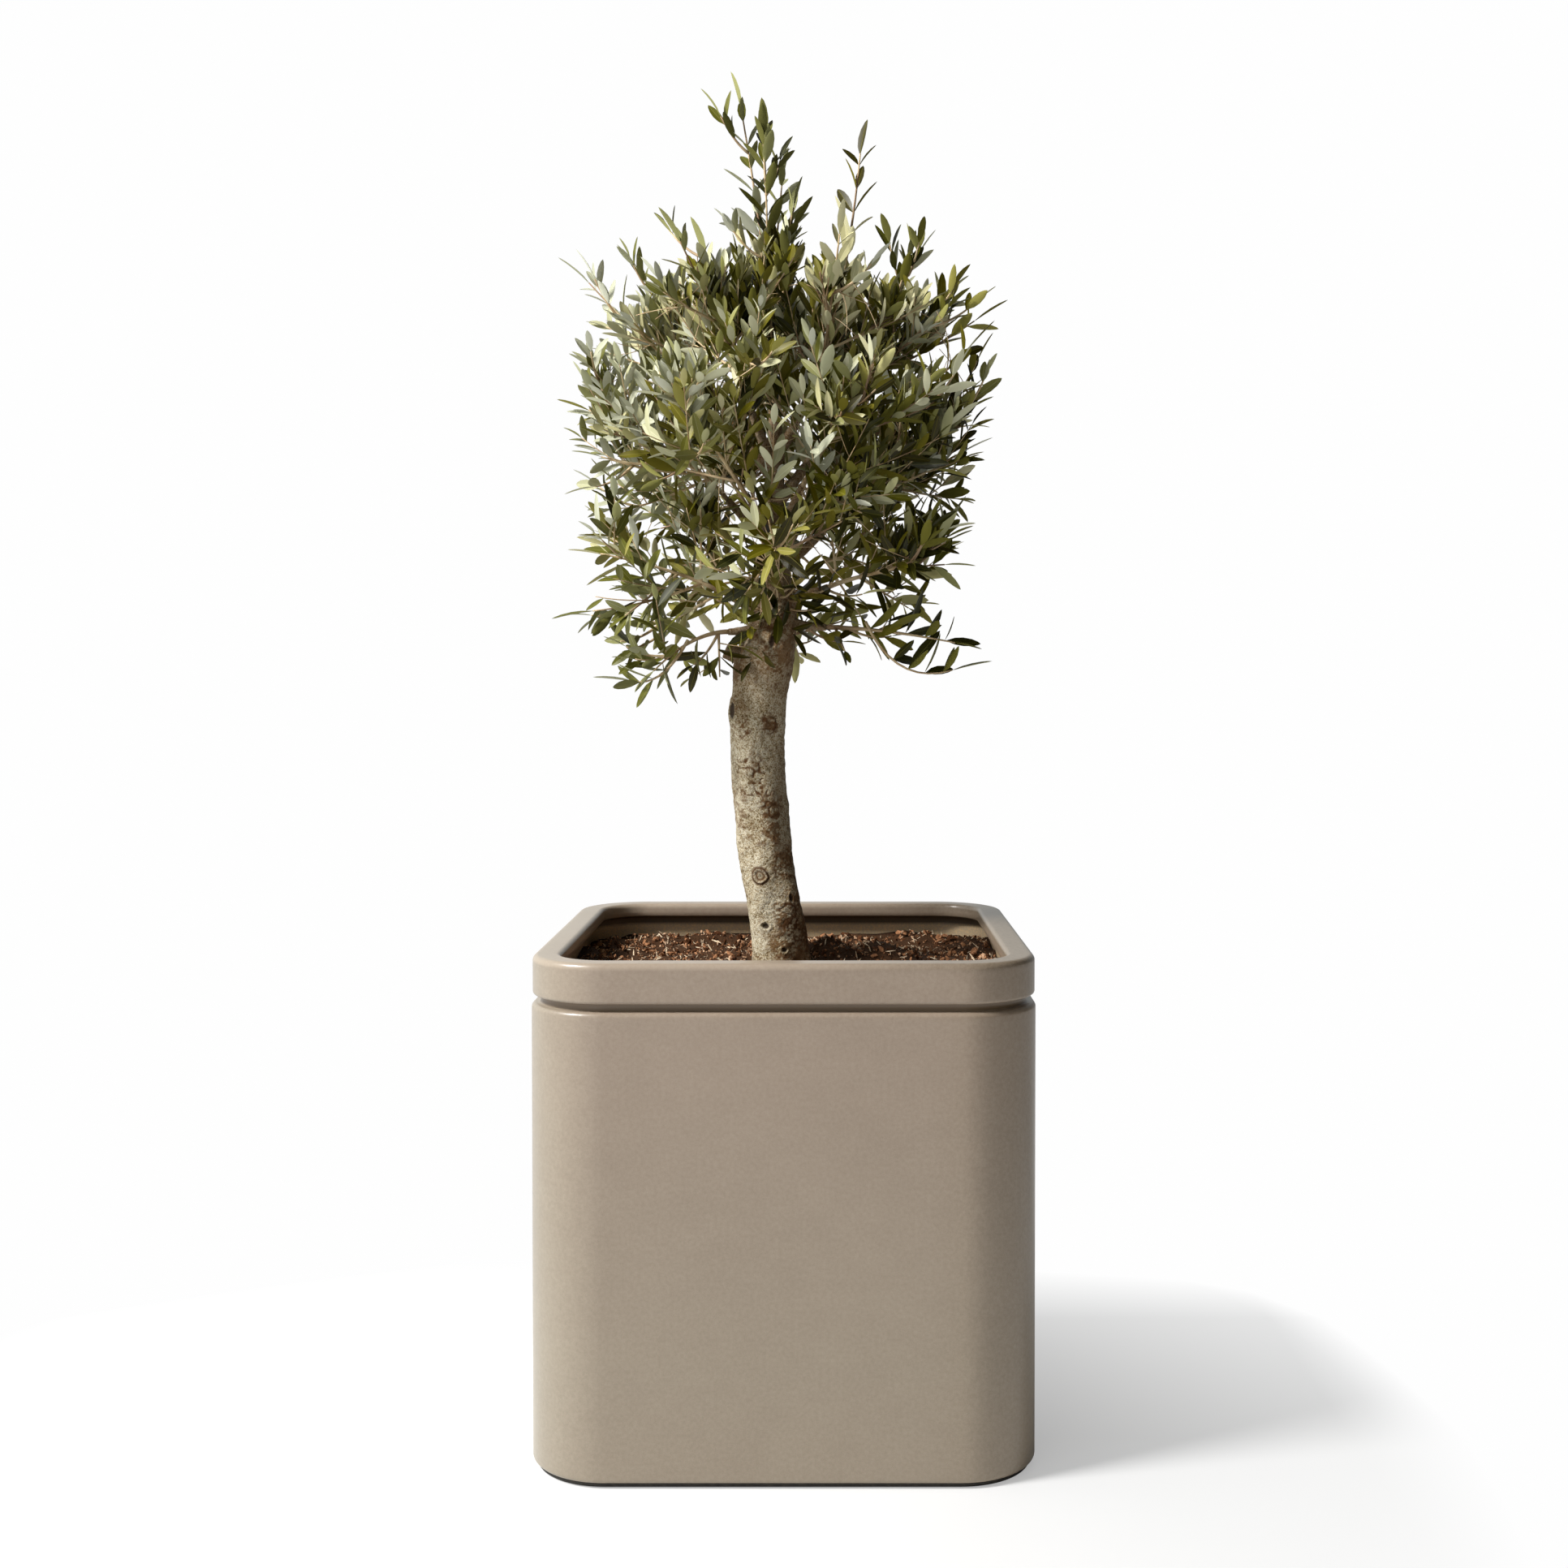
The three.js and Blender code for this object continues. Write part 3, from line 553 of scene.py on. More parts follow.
shares = np.concatenate([np.linspace(0.04, 0.98, 64), [1.0]])
edge = squareRings([planterForm["wall"] + 0.3], [0])[0]
top = edge[None] * shares[:, None, None]
top[..., 2] = soilHeight(top[..., 0], top[..., 1])
skirt = squareRings([planterForm["wall"] + 0.3] * 2, [430, 425])
rings = np.concatenate([skirt[::-1][:1] * np.array([0.2, 0.2, 1]), skirt[::-1], top[::-1]])
points, faces = closedRings(rings)
ground = soilFinish("soil_ground", (44, 25, 10), (84, 57, 36))
bed = makePiece("soil_bed", points, faces, [ground], slot="soil")
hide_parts("soil")

# a ball of 12 corners and 20 faces
golden = (1 + math.sqrt(5)) / 2
ballPoints = unit(np.array([
    (-1, golden, 0), (1, golden, 0), (-1, -golden, 0), (1, -golden, 0), (0, -1, golden), (0, 1, golden),
    (0, -1, -golden), (0, 1, -golden), (golden, 0, -1), (golden, 0, 1), (-golden, 0, -1), (-golden, 0, 1),
]))
ballFaces = np.array([
    (0, 11, 5), (0, 5, 1), (0, 1, 7), (0, 7, 10), (0, 10, 11), (1, 5, 9), (5, 11, 4), (11, 10, 2), (10, 7, 6),
    (7, 1, 8), (3, 9, 4), (3, 4, 2), (3, 2, 6), (3, 6, 8), (3, 8, 9), (4, 9, 5), (2, 4, 11), (6, 2, 10),
    (8, 6, 7), (9, 8, 1)])


def turnedFrames(random, count):
    # a random turn for each of count pieces, as three square directions
    first = unit(random.normal(size=(count, 3)))
    second = unit(np.cross(first, random.normal(size=(count, 3))))
    return np.stack([first, second, np.cross(first, second)], 1)


def scatteredBalls(random, centres, sizes, shapes):
    # each crumb is the ball with its corners pushed in and out, stretched by its shape and turned
    count = len(centres)
    push = 1 + 0.36 * random.uniform(-1, 1, (count, len(ballPoints), 1))
    local = ballPoints[None] * push * (sizes[:, None] * shapes)[:, None, :]
    turned = np.einsum("nvi,nij->nvj", local, turnedFrames(random, count))
    return (centres[:, None] + turned).reshape(-1, 3), repeated(ballFaces, len(ballPoints), count)


random = np.random.default_rng(soilForm["seed"])
spots = random.uniform(-232, 232, (soilForm["crumbs"] * 2, 2))
corner = planterForm["corner"] - planterForm["wall"]
outside = np.hypot(*np.maximum(np.abs(spots) - (235 - corner), 0).T)
fromTrunk = np.linalg.norm(spots - trunkCentre(soilForm["top"])[:2], axis=1)
spots = spots[(outside < corner - 5) & (fromTrunk > soilForm["besideTrunk"])][:soilForm["crumbs"]]
count = len(spots)
sizes = np.exp(random.normal(*soilForm["crumbSpread"], count)).clip(*soilForm["crumbSize"])
kind = random.choice(4, count, p=soilForm["kinds"])
shapes = np.stack([random.uniform(*limits, count) for limits in ((0.8, 1.8), (0.5, 1.0), (0.35, 0.8))], 1)
sizes[kind == 2] *= 0.7
# pale ones are small splinters
sizes[kind == 3] = sizes[kind == 3].clip(0.7, 1.9)
shapes[kind == 3] *= (2.6, 0.6, 0.45)
lift = soilHeight(spots[:, 0], spots[:, 1]) + sizes * random.uniform(-0.3, 0.75, count)
points, faces = scatteredBalls(random, np.column_stack([spots, lift]), sizes, shapes)
crumbTones = {
    "dark": ((62, 34, 14), (100, 62, 36)), "brown": ((130, 86, 54), (182, 132, 96)),
    "tan": ((176, 134, 102), (218, 182, 148)), "pale": ((204, 176, 142), (240, 222, 194)),
}
crumbFinishes = [soilFinish("crumb_" + name, *tones) for name, tones in crumbTones.items()]
kinds = np.repeat(kind, len(ballFaces))
crumbs = makePiece("soil_crumbs", points, faces, crumbFinishes, kinds, slot="soil", smooth=False)
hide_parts("soil")
print("soil done:", len(faces), "crumb faces")


# Growth rule
growth = {
    "seed": 7, "golden": math.radians(137.5), "boughShare": 0.42, "boughRadius": (8.0, 3.6),
    "boughTaper": 0.7, "stemRadius": 2.8, "stemKnee": 0.4, "twigRadius": 1.8, "tipRadius": 0.8,
    "twigSpacing": 28.0, "twigLength": 112.0, "shortest": 14.0, "tipRoom": 6.0, "endRoom": 36.0,
    "spaceMargin": -16.0, "limbMargin": 3.0,
}
crownX = -8  # the crown's axis
# rings of limbs: how many, where the first one points, heights of their roots, hearts and tips, and reach
tiers = [
    {"name": "upper", "count": 5, "turn": 18, "from": 968, "rise": 12, "height": 1152, "weave": 14,
     "out": 124, "tipHeight": 1264, "tipOut": 186, "reach": 116, "lift": 0.5},
    {"name": "middle", "count": 6, "turn": 0, "from": 896, "rise": 8, "height": 1022, "weave": 16,
     "out": 130, "tipHeight": 1076, "tipOut": 240, "reach": 116, "lift": 0.25},
    {"name": "low", "count": 5, "turn": 198, "from": 850, "rise": 8, "height": 906, "weave": 18,
     "out": 130, "tipHeight": 890, "tipOut": 236, "reach": 108, "lift": 0.05},
]
sideNames = ["right", "back_right", "back", "back_left", "left", "front_left", "front", "front_right"]
shoots = {  # shoots that stand out of the ball; the first is the end of the stem
    "leader": [(-57, -4, 1431), (-25, -26, 1397), (-2, 26, 1366), (24, -34, 1290), (-62, 34, 1300)],
    "upper_right": [(157, 30, 1272), (199, 44, 1230), (236, 36, 1193)],
    "upper_left": [(-184, 36, 1259), (-243, 20, 1239), (-214, 64, 1148)],
    "upper_front_left": [(-137, -140, 1279), (-98, -84, 1279)],
    "upper_front_right": [(81, -74, 1366), (60, -150, 1262)],
    "middle_right": [(225, 6, 1088), (214, -30, 1036)],
    "middle_left": [(-256, 0, 1082), (-233, -30, 1027)],
    "low_right": [(210, -46, 899), (200, -60, 940)],
    "low_left": [(-239, -50, 916), (-236, -76, 846)],
}
bareFrom = {"leader": 0.5, "upper_front_right": 0.55}
shorter = {"upper_front_left": 24.0}  # mm left off the ends of these shoots, which lean to the front
limbs = [{"name": "leader", "height": 858, "heart": (-14, 0, 1200), "tip": shoots["leader"][0],
          "reach": 116, "lift": 0.9, "bough": (-14, 2, 1074), "radii": (16.0, 6.0)}]
for tier in tiers:
    for k in range(tier["count"]):
        degrees = tier["turn"] + k * 360 / tier["count"]
        name = tier["name"] + "_" + sideNames[int(math.floor(degrees / 45 + 0.5)) % 8]
        x, y = math.cos(math.radians(degrees)), math.sin(math.radians(degrees))
        plainTip = (crownX + tier["tipOut"] * x, tier["tipOut"] * y, tier["tipHeight"])
        heartHeight = tier["height"] + (1 if k % 2 else -1) * tier["weave"]
        limbs.append({
            "name": name, "height": tier["from"] + tier["rise"] * k,
            "heart": (crownX + tier["out"] * x, tier["out"] * y, heartHeight),
            "tip": shoots.get(name, [plainTip])[0], "reach": tier["reach"], "lift": tier["lift"],
        })
for name, height, heart, tip, reach, lift in [
        ("spray_left", 838, (-128, -50, 812), (-166, -74, 752), 96, 0.2),
        ("spray_right", 844, (118, -24, 816), (220, -42, 806), 94, 0.3),
        ("spray_back", 832, (6, 122, 812), (14, 216, 790), 92, 0.2)]:
    limbs.append({"name": name, "height": height, "heart": heart, "tip": tip, "reach": reach, "lift": lift})
hearts = np.array([row["heart"] for row in limbs], float)
reaches = np.array([row["reach"] for row in limbs], float)


def stream(seed):
    # the source's repeatable stream of numbers from 0 to 1
    state = (seed * 2654435761) % 4294967296
    while True:
        state = (state * 1664525 + 1013904223) % 4294967296
        yield state / 4294967296


def bezier(curve, t):
    # start, knee and end weighed by (1-t)^2, 2t(1-t) and t^2
    t = np.asarray(t, float)[..., None]
    return (1 - t) ** 2 * curve[0] + 2 * t * (1 - t) * curve[1] + t * t * curve[2]


def bezierWay(curve, t):
    # its direction: the two legs weighed by 1-t and t
    t = np.asarray(t, float)[..., None]
    return unit((1 - t) * (curve[1] - curve[0]) + t * (curve[2] - curve[1]))


def lengthOf(curve):
    # the sum of 32 chords
    return float(np.linalg.norm(np.diff(bezier(curve, np.linspace(0, 1, 33)), axis=0), axis=1).sum())


def cutAt(curve, share):
    # the stretch from the start to a share of the curve
    return np.array([curve[0], curve[0] + share * (curve[1] - curve[0]), bezier(curve, share)])


def up(size):
    # a step straight up
    return np.array([0, 0, size])


def boughCurve(row):
    # from the parent's middle line, outwards and then up, towards the heart of the mass
    if row["height"] < trunkForm["forkHeight"]:
        root = trunkCentre(row["height"])
    else:
        along = bezier(leaderCurve, np.linspace(0, 1, 101))
        root = along[np.searchsorted(along[:, 2], row["height"]).clip(0, 100)]
    if "bough" in row:
        tip = np.array(row["bough"], float)
        sag = 0
    else:
        tip = root + growth["boughShare"] * (np.array(row["heart"]) - root)
        sag = 0.1 * np.linalg.norm(tip - root)
    return np.array([root, (root + tip) / 2 - up(sag), tip])


leaderCurve = boughCurve(limbs[0])
boughs = [boughCurve(row) for row in limbs]


def stemCurve(index):
    # from the bough's tip, in its direction, to the tip of the longest shoot
    way = bezierWay(boughs[index], 1.0)
    start = boughs[index][2] + 0.3 * way
    tip = np.array(limbs[index]["tip"], float)
    return np.array([start, start + growth["stemKnee"] * np.linalg.norm(tip - start) * way, tip])


def frameAt(curve, t):
    # the point there, the direction, and two directions square to it: one level, one upwards
    along = bezierWay(curve, t)
    level = np.cross(along, (0, 0, 1.0))
    level = unit(level if np.dot(level, level) > 0.01 else np.array([1.0, 0, 0]))
    return bezier(curve, t), along, level, unit(np.cross(level, along))


def insideSpace(points, index, margin):
    # nearer its heart than any other's, weighed by their reach
    gap = ((points[:, None] - hearts[None]) ** 2).sum(-1) - reaches ** 2
    apart = 2 * np.linalg.norm(hearts - hearts[index], axis=1)
    apart[index] = 1
    room = (gap - gap[:, index:index + 1]) / apart
    room[:, index] = 1e9
    return (room > margin).all(1)


# points on the middle lines of trunk and boughs, each with the radius there
z = np.linspace(trunkForm["soilTop"], trunkForm["forkHeight"] + 4, 41)
limbSamples = [np.column_stack([trunkCentre(z), trunkRadius(z)])]
t = np.linspace(0, 1, 17)
for row, curve in zip(limbs, boughs):
    radius = mixed(row.get("radii", growth["boughRadius"]), t ** growth["boughTaper"])
    limbSamples.append(np.column_stack([bezier(curve, t), radius]))
limbSamples = np.concatenate(limbSamples)


def clearOfLimbs(points, margin):
    # farther from each limb's middle line than its radius and the margin
    away = np.linalg.norm(points[:, None] - limbSamples[None, :, :3], axis=-1)
    return (away > limbSamples[None, :, 3] + margin).all(1)


# heights, then how far leaves reach to the left and to the right of the crown's axis
crownOutline = np.array([
    (752, 30, 10), (768, 110, 35), (785, 165, 70), (805, 190, 125), (830, 205, 160), (860, 212, 172),
    (900, 216, 196), (950, 226, 208), (1000, 224, 220), (1050, 232, 228), (1100, 236, 234), (1146, 222, 234),
    (1176, 190, 206), (1204, 132, 140), (1226, 78, 84), (1246, 44, 48), (1262, 28, 34), (1276, 14, 20),
], float)
crownRough = {"height": 13.0, "size": 60.0}


def insideCrown(points, slack=0.0):
    # within the outline's reach at that height, blended from left to right round the axis
    points = np.asarray(points, float)
    dx, dy = points[..., 0] - crownX, points[..., 1]
    away = np.hypot(dx, dy)
    share = 0.5 + 0.5 * dx / np.maximum(away, 1)
    reach = [np.interp(points[..., 2], crownOutline[:, 0], crownOutline[:, k], left=-99, right=-99)
             for k in (1, 2)]
    rough = crownRough["height"] * valueNoise(points, crownRough["size"], 77)
    return away < mixed(reach, share) + slack + rough


def trimmed(curve, index, slack=0.0, ragged=0.0):
    # the part of a twig that stays in its space, in reach and clear of the limbs, or None
    points = bezier(curve, np.linspace(0, 1, 13)[1:])
    good = insideSpace(points, index, growth["spaceMargin"]) & clearOfLimbs(points, growth["limbMargin"])
    good &= np.linalg.norm(points - hearts[index], axis=1) < reaches[index] + slack
    good &= insideCrown(points, -18 - ragged)
    share = 1 if good.all() else int(np.argmin(good)) / 12 - growth["tipRoom"] / lengthOf(curve)
    if share * lengthOf(curve) < growth["shortest"]:
        return None
    return cutAt(curve, share)


def sideTwigs(index, stem):
    # the source's twigs: shoots of the outline first, then one each golden angle along the stem
    row = limbs[index]
    twigs = []
    for k, tip in enumerate(shoots.get(row["name"], [])[1:]):
        start, end = bezier(stem, 0.25 + 0.12 * k), np.array(tip, float)
        knee = (start + end) / 2 - up(0.1 * np.linalg.norm(end - start))
        whole = np.array([start, knee, end])
        room = growth["endRoom"] + shorter.get(row["name"], 0)
        twigs.append((cutAt(whole, 1 - room / lengthOf(whole)), False))
    chance = stream(growth["seed"] + index)
    leafy = bareFrom.get(row["name"], 1)
    count = int(leafy * lengthOf(stem) / growth["twigSpacing"])
    for k in range(count):
        a, b, c = next(chance), next(chance), next(chance)
        share = leafy * (k + 0.3 + 0.4 * (a - 0.5)) / count
        start, along, level, upper = frameAt(stem, share)
        turn = k * growth["golden"] + index
        way = unit(along * (0.1 + 0.8 * share + 0.2 * b) + level * math.cos(turn) + upper * math.sin(turn)
                   + up(row["lift"] * 0.5))
        size = growth["twigLength"] * (1 - 0.5 * share ** 1.6) * (0.8 + 0.3 * c)
        end = start + way * size + up(row["lift"] * size * 0.25)
        twigs.append((np.array([start, start + way * size * 0.55, end]), True))
    return twigs


# finer twigs that carry the rule on, and the leaves
spray = {
    "spacing": 11.8, "longest": 128.0, "forward": 0.86, "around": 0.62, "lift": 0.55,
    "slack": -4.0, "ragged": 44.0, "lowThinning": 0.55,
    "pairSpacing": 17.0, "shootPairSpacing": 18.0, "outerPairSpacing": 21.5, "bareShare": 0.35,
    "outerSize": 1.3, "leafLength": (26.0, 40.0), "leafWidth": (8.7, 11.8),
    "tipReach": 36.0, "middleReach": 17.0,  # from a leaf's root to its tip and its middle
    "rise": (0.1, 1.0), "riseSpread": 0.5, "roll": 1.5,  # how leaves turn up and about
}


def sprayTwigs(curve, index, chance, longest, start=0.1):
    # side shoots round a twig by the golden angle, shorter towards its end, turning up
    count = max(1, int(lengthOf(curve) * (1 - start) / spray["spacing"]))
    lift = spray["lift"] + 0.4 * limbs[index]["lift"]
    made = []
    turn = 6.283 * next(chance)
    for k in range(count):
        share = start + (1 - start) * (k + 0.2 + 0.6 * next(chance)) / count
        root, along, level, upper = frameAt(curve, share)
        turn += growth["golden"]
        around = level * math.cos(turn) + upper * math.sin(turn)
        upwards = up(lift * (0.5 + next(chance)))
        way = unit(along * spray["forward"] + spray["around"] * around + upwards)
        size = longest * (1 - 0.45 * share) * (0.6 + 0.6 * next(chance))
        end = root + way * size + up(0.22 * lift * size)
        ragged = spray["ragged"] * (next(chance) - 0.35) * (1 + smoothStep(root[2], 1110, 1200))
        if next(chance) < spray["lowThinning"] * (1 - smoothStep(root[2], 860, 960)):
            continue
        kept = trimmed(np.array([root, root + way * size * 0.5, end]), index, spray["slack"], ragged)
        if kept is not None:
            made.append(kept)
    return made


def leafRise(root, size):
    # leaves turn up more towards the top of the crown, and on the hanging spray at the right
    rise = mixed(spray["rise"], smoothStep(root[2], 800, 1240))
    return rise * (1 if size < 1.1 else 0.5), 1.3 * smoothStep(root[0], 95, 120) * (root[2] < 832)


def leafRows(curve, spacing, start, chance, sprayKey, size=1.0, endSize=0.7):
    # opposite pairs, each turned a quarter from the last, and one leaf at the end:
    # rows of root, direction, face direction, size, shares of length and width, and spray
    rows = []
    count = max(1, int(round(lengthOf(curve) * (1 - start) / spacing)))
    turn = 6.283 * next(chance)
    along, level, upper = frameAt(curve, 1.0)[1:]
    faceUp = unit(upper + 0.5 * (next(chance) - 0.5) * level)
    rows.append((bezier(curve, 0.99), along, faceUp, endSize * size, next(chance), next(chance), sprayKey))
    for k in range(count):
        part = (k + 0.5) / count
        share = start + (1 - start) * part
        root, along, level, upper = frameAt(curve, share)
        turn += math.pi / 2 + 0.5 * (next(chance) - 0.5)
        # leaves are smaller at the foot and the end of a shoot, and larger low in the crown
        grown = size * (0.66 + 0.34 * math.sin(math.pi * min(1, 0.15 + 0.85 * part)))
        grown *= 1.16 - 0.16 * smoothStep(root[2], 980, 1150)
        upright = smoothStep(root[2], 1080, 1220) * (size < 1.1)
        crownRise, hangingRise = leafRise(root, size)
        for side in (1, -1):
            angle = turn + 0.35 * (next(chance) - 0.5)
            out = side * (level * math.cos(angle) + upper * math.sin(angle))
            spread = (0.7 + 0.75 * next(chance)) * (1 - 0.3 * upright)
            rise = crownRise + spray["riseSpread"] * (next(chance) - 0.5) + hangingRise
            way = unit(along + out * spread + up(rise))
            # the upper face looks to the end of the shoot and a little to the sky, turned by chance
            faceUp = along - way * np.dot(along, way) + up(0.35)
            across = unit(np.cross(way, faceUp))
            roll = spray["roll"] * (next(chance) + next(chance) - 1)
            faceUp = unit(np.cross(across, way) * math.cos(roll) + across * math.sin(roll))
            leafSize = grown * (0.85 + 0.3 * next(chance))
            rows.append((root, way, faceUp, leafSize, next(chance), next(chance), sprayKey))
    return rows


def keptLeaves(rows):
    # leaves whose tips stay near the crown's outline
    tips = np.array([row[0] + row[1] * row[3] * spray["tipReach"] for row in rows])
    return [row for row, keep in zip(rows, insideCrown(tips, 13)) if keep]


stems, firstTwigs, fineTwigs, leaves = [], [], [], []
sprayKey = 0


def addLeaves(curve, spacing, start, chance, inReach=True, **sizes):
    # the leaves of one more spray; inReach leaves out those that pass the outline
    global sprayKey
    sprayKey += 1
    rows = leafRows(curve, spacing, start, chance, sprayKey, **sizes)
    leaves.extend(keptLeaves(rows) if inReach else rows)


def addFine(parent, index, chance, longest, first, leafy):
    # finer twigs on a parent, each one a spray of its own
    for fine in sprayTwigs(parent, index, chance, longest, first):
        fineTwigs.append(fine)
        addLeaves(fine, spray["pairSpacing"], leafy, chance)


# larger leaves on the shoots that make the outline
outer = {"inReach": False, "size": spray["outerSize"], "endSize": 0.9}
for index, row in enumerate(limbs):
    whole = stemCurve(index)
    stem = cutAt(whole, 1 - (growth["endRoom"] + shorter.get(row["name"], 0)) / lengthOf(whole))
    stems.append(stem)
    chance = stream(growth["seed"] + 2000 + index)
    addLeaves(stem, spray["outerPairSpacing"], 0.3, chance, **outer)
    addFine(cutAt(stem, bareFrom.get(row["name"], 1)), index, chance, 0.8 * spray["longest"], 0.15, 0.15)
    for twig, bounded in sideTwigs(index, stem):
        kept = trimmed(twig, index) if bounded else twig
        if kept is None:
            continue
        firstTwigs.append(kept)
        if bounded:
            addLeaves(kept, spray["shootPairSpacing"], spray["bareShare"], chance)
        else:
            addLeaves(kept, spray["outerPairSpacing"], 0.2, chance, **outer)
        leafyShare = 0.45 if not bounded and lengthOf(kept) > 150 else 0.9
        addFine(cutAt(kept, leafyShare), index, chance, spray["longest"], 0.1, 0.12)
fillTips = [  # ends of extra shoots that close the outline between the masses and hide the fork
    (-45, -47, 772), (16, -26, 800), (-201, -44, 806), (-234, -36, 838), (-112, -64, 772),
    (-182, -84, 792), (84, -30, 806), (140, -8, 818), (228, -22, 1128), (216, -64, 1142), (224, 36, 1150),
    (196, -96, 1120), (-228, -34, 968), (-232, 30, 1000), (-214, -78, 1012), (140, -6, 1254),
    (190, -70, 1180), (-205, -90, 1130), (0, -228, 1096), (60, -222, 1040), (-70, -220, 1010),
    (20, -214, 940), (-58, -68, 834), (-14, -72, 832), (-188, -50, 796), (-196, -60, 816),
    (-60, -90, 884), (20, -92, 876), (-20, -112, 908), (62, -78, 884), (-92, -70, 862), (50, -52, 846),
    (-74, -84, 900), (-44, -98, 932), (8, -108, 922), (36, -84, 900), (-10, -86, 886), (-66, -72, 866),
    (30, -64, 852), (-24, -84, 900), (50, -100, 934), (0, 226, 1100), (70, 220, 1030), (-70, 216, 960),
    (30, 206, 900), (150, 150, 1130), (-160, 150, 1120), (-145, -30, 1272), (-80, -40, 1276),
    (-186, 10, 1258), (-221, -20, 1228), (-88, -20, 1400), (-26, -40, 1378), (1, 10, 1360),
    (16, -20, 1308), (103, 0, 1274), (148, -30, 1262), (196, 0, 1220), (224, -30, 1188),
    (-120, 110, 1246), (60, 120, 1242), (110, -130, 1212), (0, 170, 1226), (150, 120, 1222),
    (-150, -120, 1202), (-150, -150, 960), (160, -140, 960), (150, 140, 920), (-150, 140, 900),
    (-30, -160, 838), (40, 150, 820), (104, -56, 862),
]
arcs = [  # long sprays that hang from the crown's foot and turn up again
    ((84, -30, 838), (116, -36, 768), (176, -44, 786)),
    ((-104, -50, 818), (-130, -58, 768), (-160, -64, 774)),
]
openings = [  # x, z and half sizes of places at the crown's foot where the photo shows sky
    (-210, 870, 30, 16), (-152, 858, 20, 11), (-112, 822, 17, 8), (-196, 806, 27, 11), (34, 814, 18, 12),
]


def fillShoot(tip, grown):
    # starts at the wood that lies about 75 mm from the tip, nearest to the crown's axis
    tip = np.array(tip, float)
    away = np.linalg.norm(grown - tip, axis=1)
    inward = np.hypot(grown[:, 0] - crownX, grown[:, 1])
    # shoots of the crest come from below
    level = 0.7 * np.maximum(0, grown[:, 2] - tip[2] + 55) * (tip[2] > 1100)
    start = grown[np.argmin(np.abs(away - 75) + 0.25 * inward + 400 * (away < 30) + level)]
    size = np.linalg.norm(tip - start)
    end = tip - (tip - start) / size * 28
    return np.array([start, (start + end) / 2 - up(0.12 * size), end])


grown = np.concatenate([bezier(curve, np.linspace(0, 1, 17)) for curve in boughs + stems + firstTwigs])
for k, tip in enumerate(fillTips):
    firstTwigs.append(fillShoot(tip, grown))
    nearTrunk = abs(tip[0] - crownX) < 100 and tip[2] < 890
    addLeaves(firstTwigs[-1], spray["pairSpacing"] + 3, 0.3, stream(growth["seed"] + 4000 + k),
              False, size=1.1 if nearTrunk else 1.05, endSize=0.9)
for k, arc in enumerate(arcs):
    firstTwigs.append(np.array(arc, float))
    addLeaves(firstTwigs[-1], spray["outerPairSpacing"], 0.3, stream(growth["seed"] + 6000 + k), **outer)

# leaves whose middle lies in an opening are left out
middle = np.array([row[0] + row[1] * row[3] * spray["middleReach"] for row in leaves])
hidden = np.zeros(len(leaves), bool)
for x, z, halfX, halfZ in openings:
    hidden |= np.hypot((middle[:, 0] - x) / halfX, (middle[:, 2] - z) / halfZ) < 1
leaves = [row for row, gone in zip(leaves, hidden) if not gone]
print("grown:", len(firstTwigs), "twigs,", len(fineTwigs), "fine twigs,", len(leaves), "leaves")


# Bark
barkForm = {"around": 190, "along": 400, "boughAround": 22, "boughAlong": 40, "swell": 2.2}


def tubes(curves, radii, around, along, power=1.0):
    # circles of a tapering radius, square to each curve: (curve, along, around, 3)
    curves, radii = np.asarray(curves, float), np.asarray(radii, float)
    t = np.linspace(0, 1, along)
    weights = np.stack([(1 - t) ** 2, 2 * t * (1 - t), t * t], 1)
    centres = np.einsum("tw,cwi->cti", weights, curves)
    legs = np.diff(curves, axis=1)
    ways = unit((1 - t)[None, :, None] * legs[:, None, 0] + t[None, :, None] * legs[:, None, 1])
    side = unit(np.cross(ways, np.array([0.31, 0.87, 0.38])))
    other = np.cross(side, ways)
    angle = np.linspace(0, 2 * math.pi, around, endpoint=False)[:, None]
    size = mixed((radii[:, :1], radii[:, 1:]), t[None] ** power)
    ring = np.cos(angle) * side[:, :, None, :] - np.sin(angle) * other[:, :, None, :]
    return centres[:, :, None] + size[:, :, None, None] * ring, ring


def joinedTubes(rings):
    # one mesh of all tubes, with both ends of each closed by a fan
    count, along, around = rings.shape[:3]
    ends = np.stack([rings[:, 0].mean(1), rings[:, -1].mean(1)], 1)
    points = np.concatenate([rings.reshape(count, -1, 3), ends], 1)
    return points.reshape(-1, 3), repeated(fanned(along, around), points.shape[1], count)


# every point of the trunk's bark: its height, its angle and how far the rounded top draws in
cap = np.linspace(0.2, 1.45, 8)
fork = trunkForm["forkHeight"]
levels = np.linspace(trunkForm["soilTop"] - 10, fork, barkForm["along"])
levels = np.concatenate([levels, fork + 9 * np.sin(cap)])
shrink = np.concatenate([np.ones(barkForm["along"]), np.cos(cap)])[:, None]
angle = np.linspace(0, 2 * math.pi, barkForm["around"], endpoint=False)
height, angle = np.meshgrid(levels, angle, indexing="ij")
centre = trunkCentre(np.minimum(height, fork))
out = np.stack([np.cos(angle), np.sin(angle), np.zeros_like(angle)], -1)
lumps = 1 + 0.035 * np.sin(3 * angle + height / 34) + 0.025 * np.sin(5 * angle - height / 21)
radius = trunkRadius(np.minimum(height, fork)) * lumps * shrink
onStem = np.stack([np.cos(angle) * trunkForm["radius"], np.sin(angle) * trunkForm["radius"], height], -1)
slow = valueNoise(onStem, (16, 16, 30), 11)
fine = valueNoise(onStem, (5, 5, 6), 12)
grain = valueNoise(onStem, (2.2, 2.2, 2.4), 13)
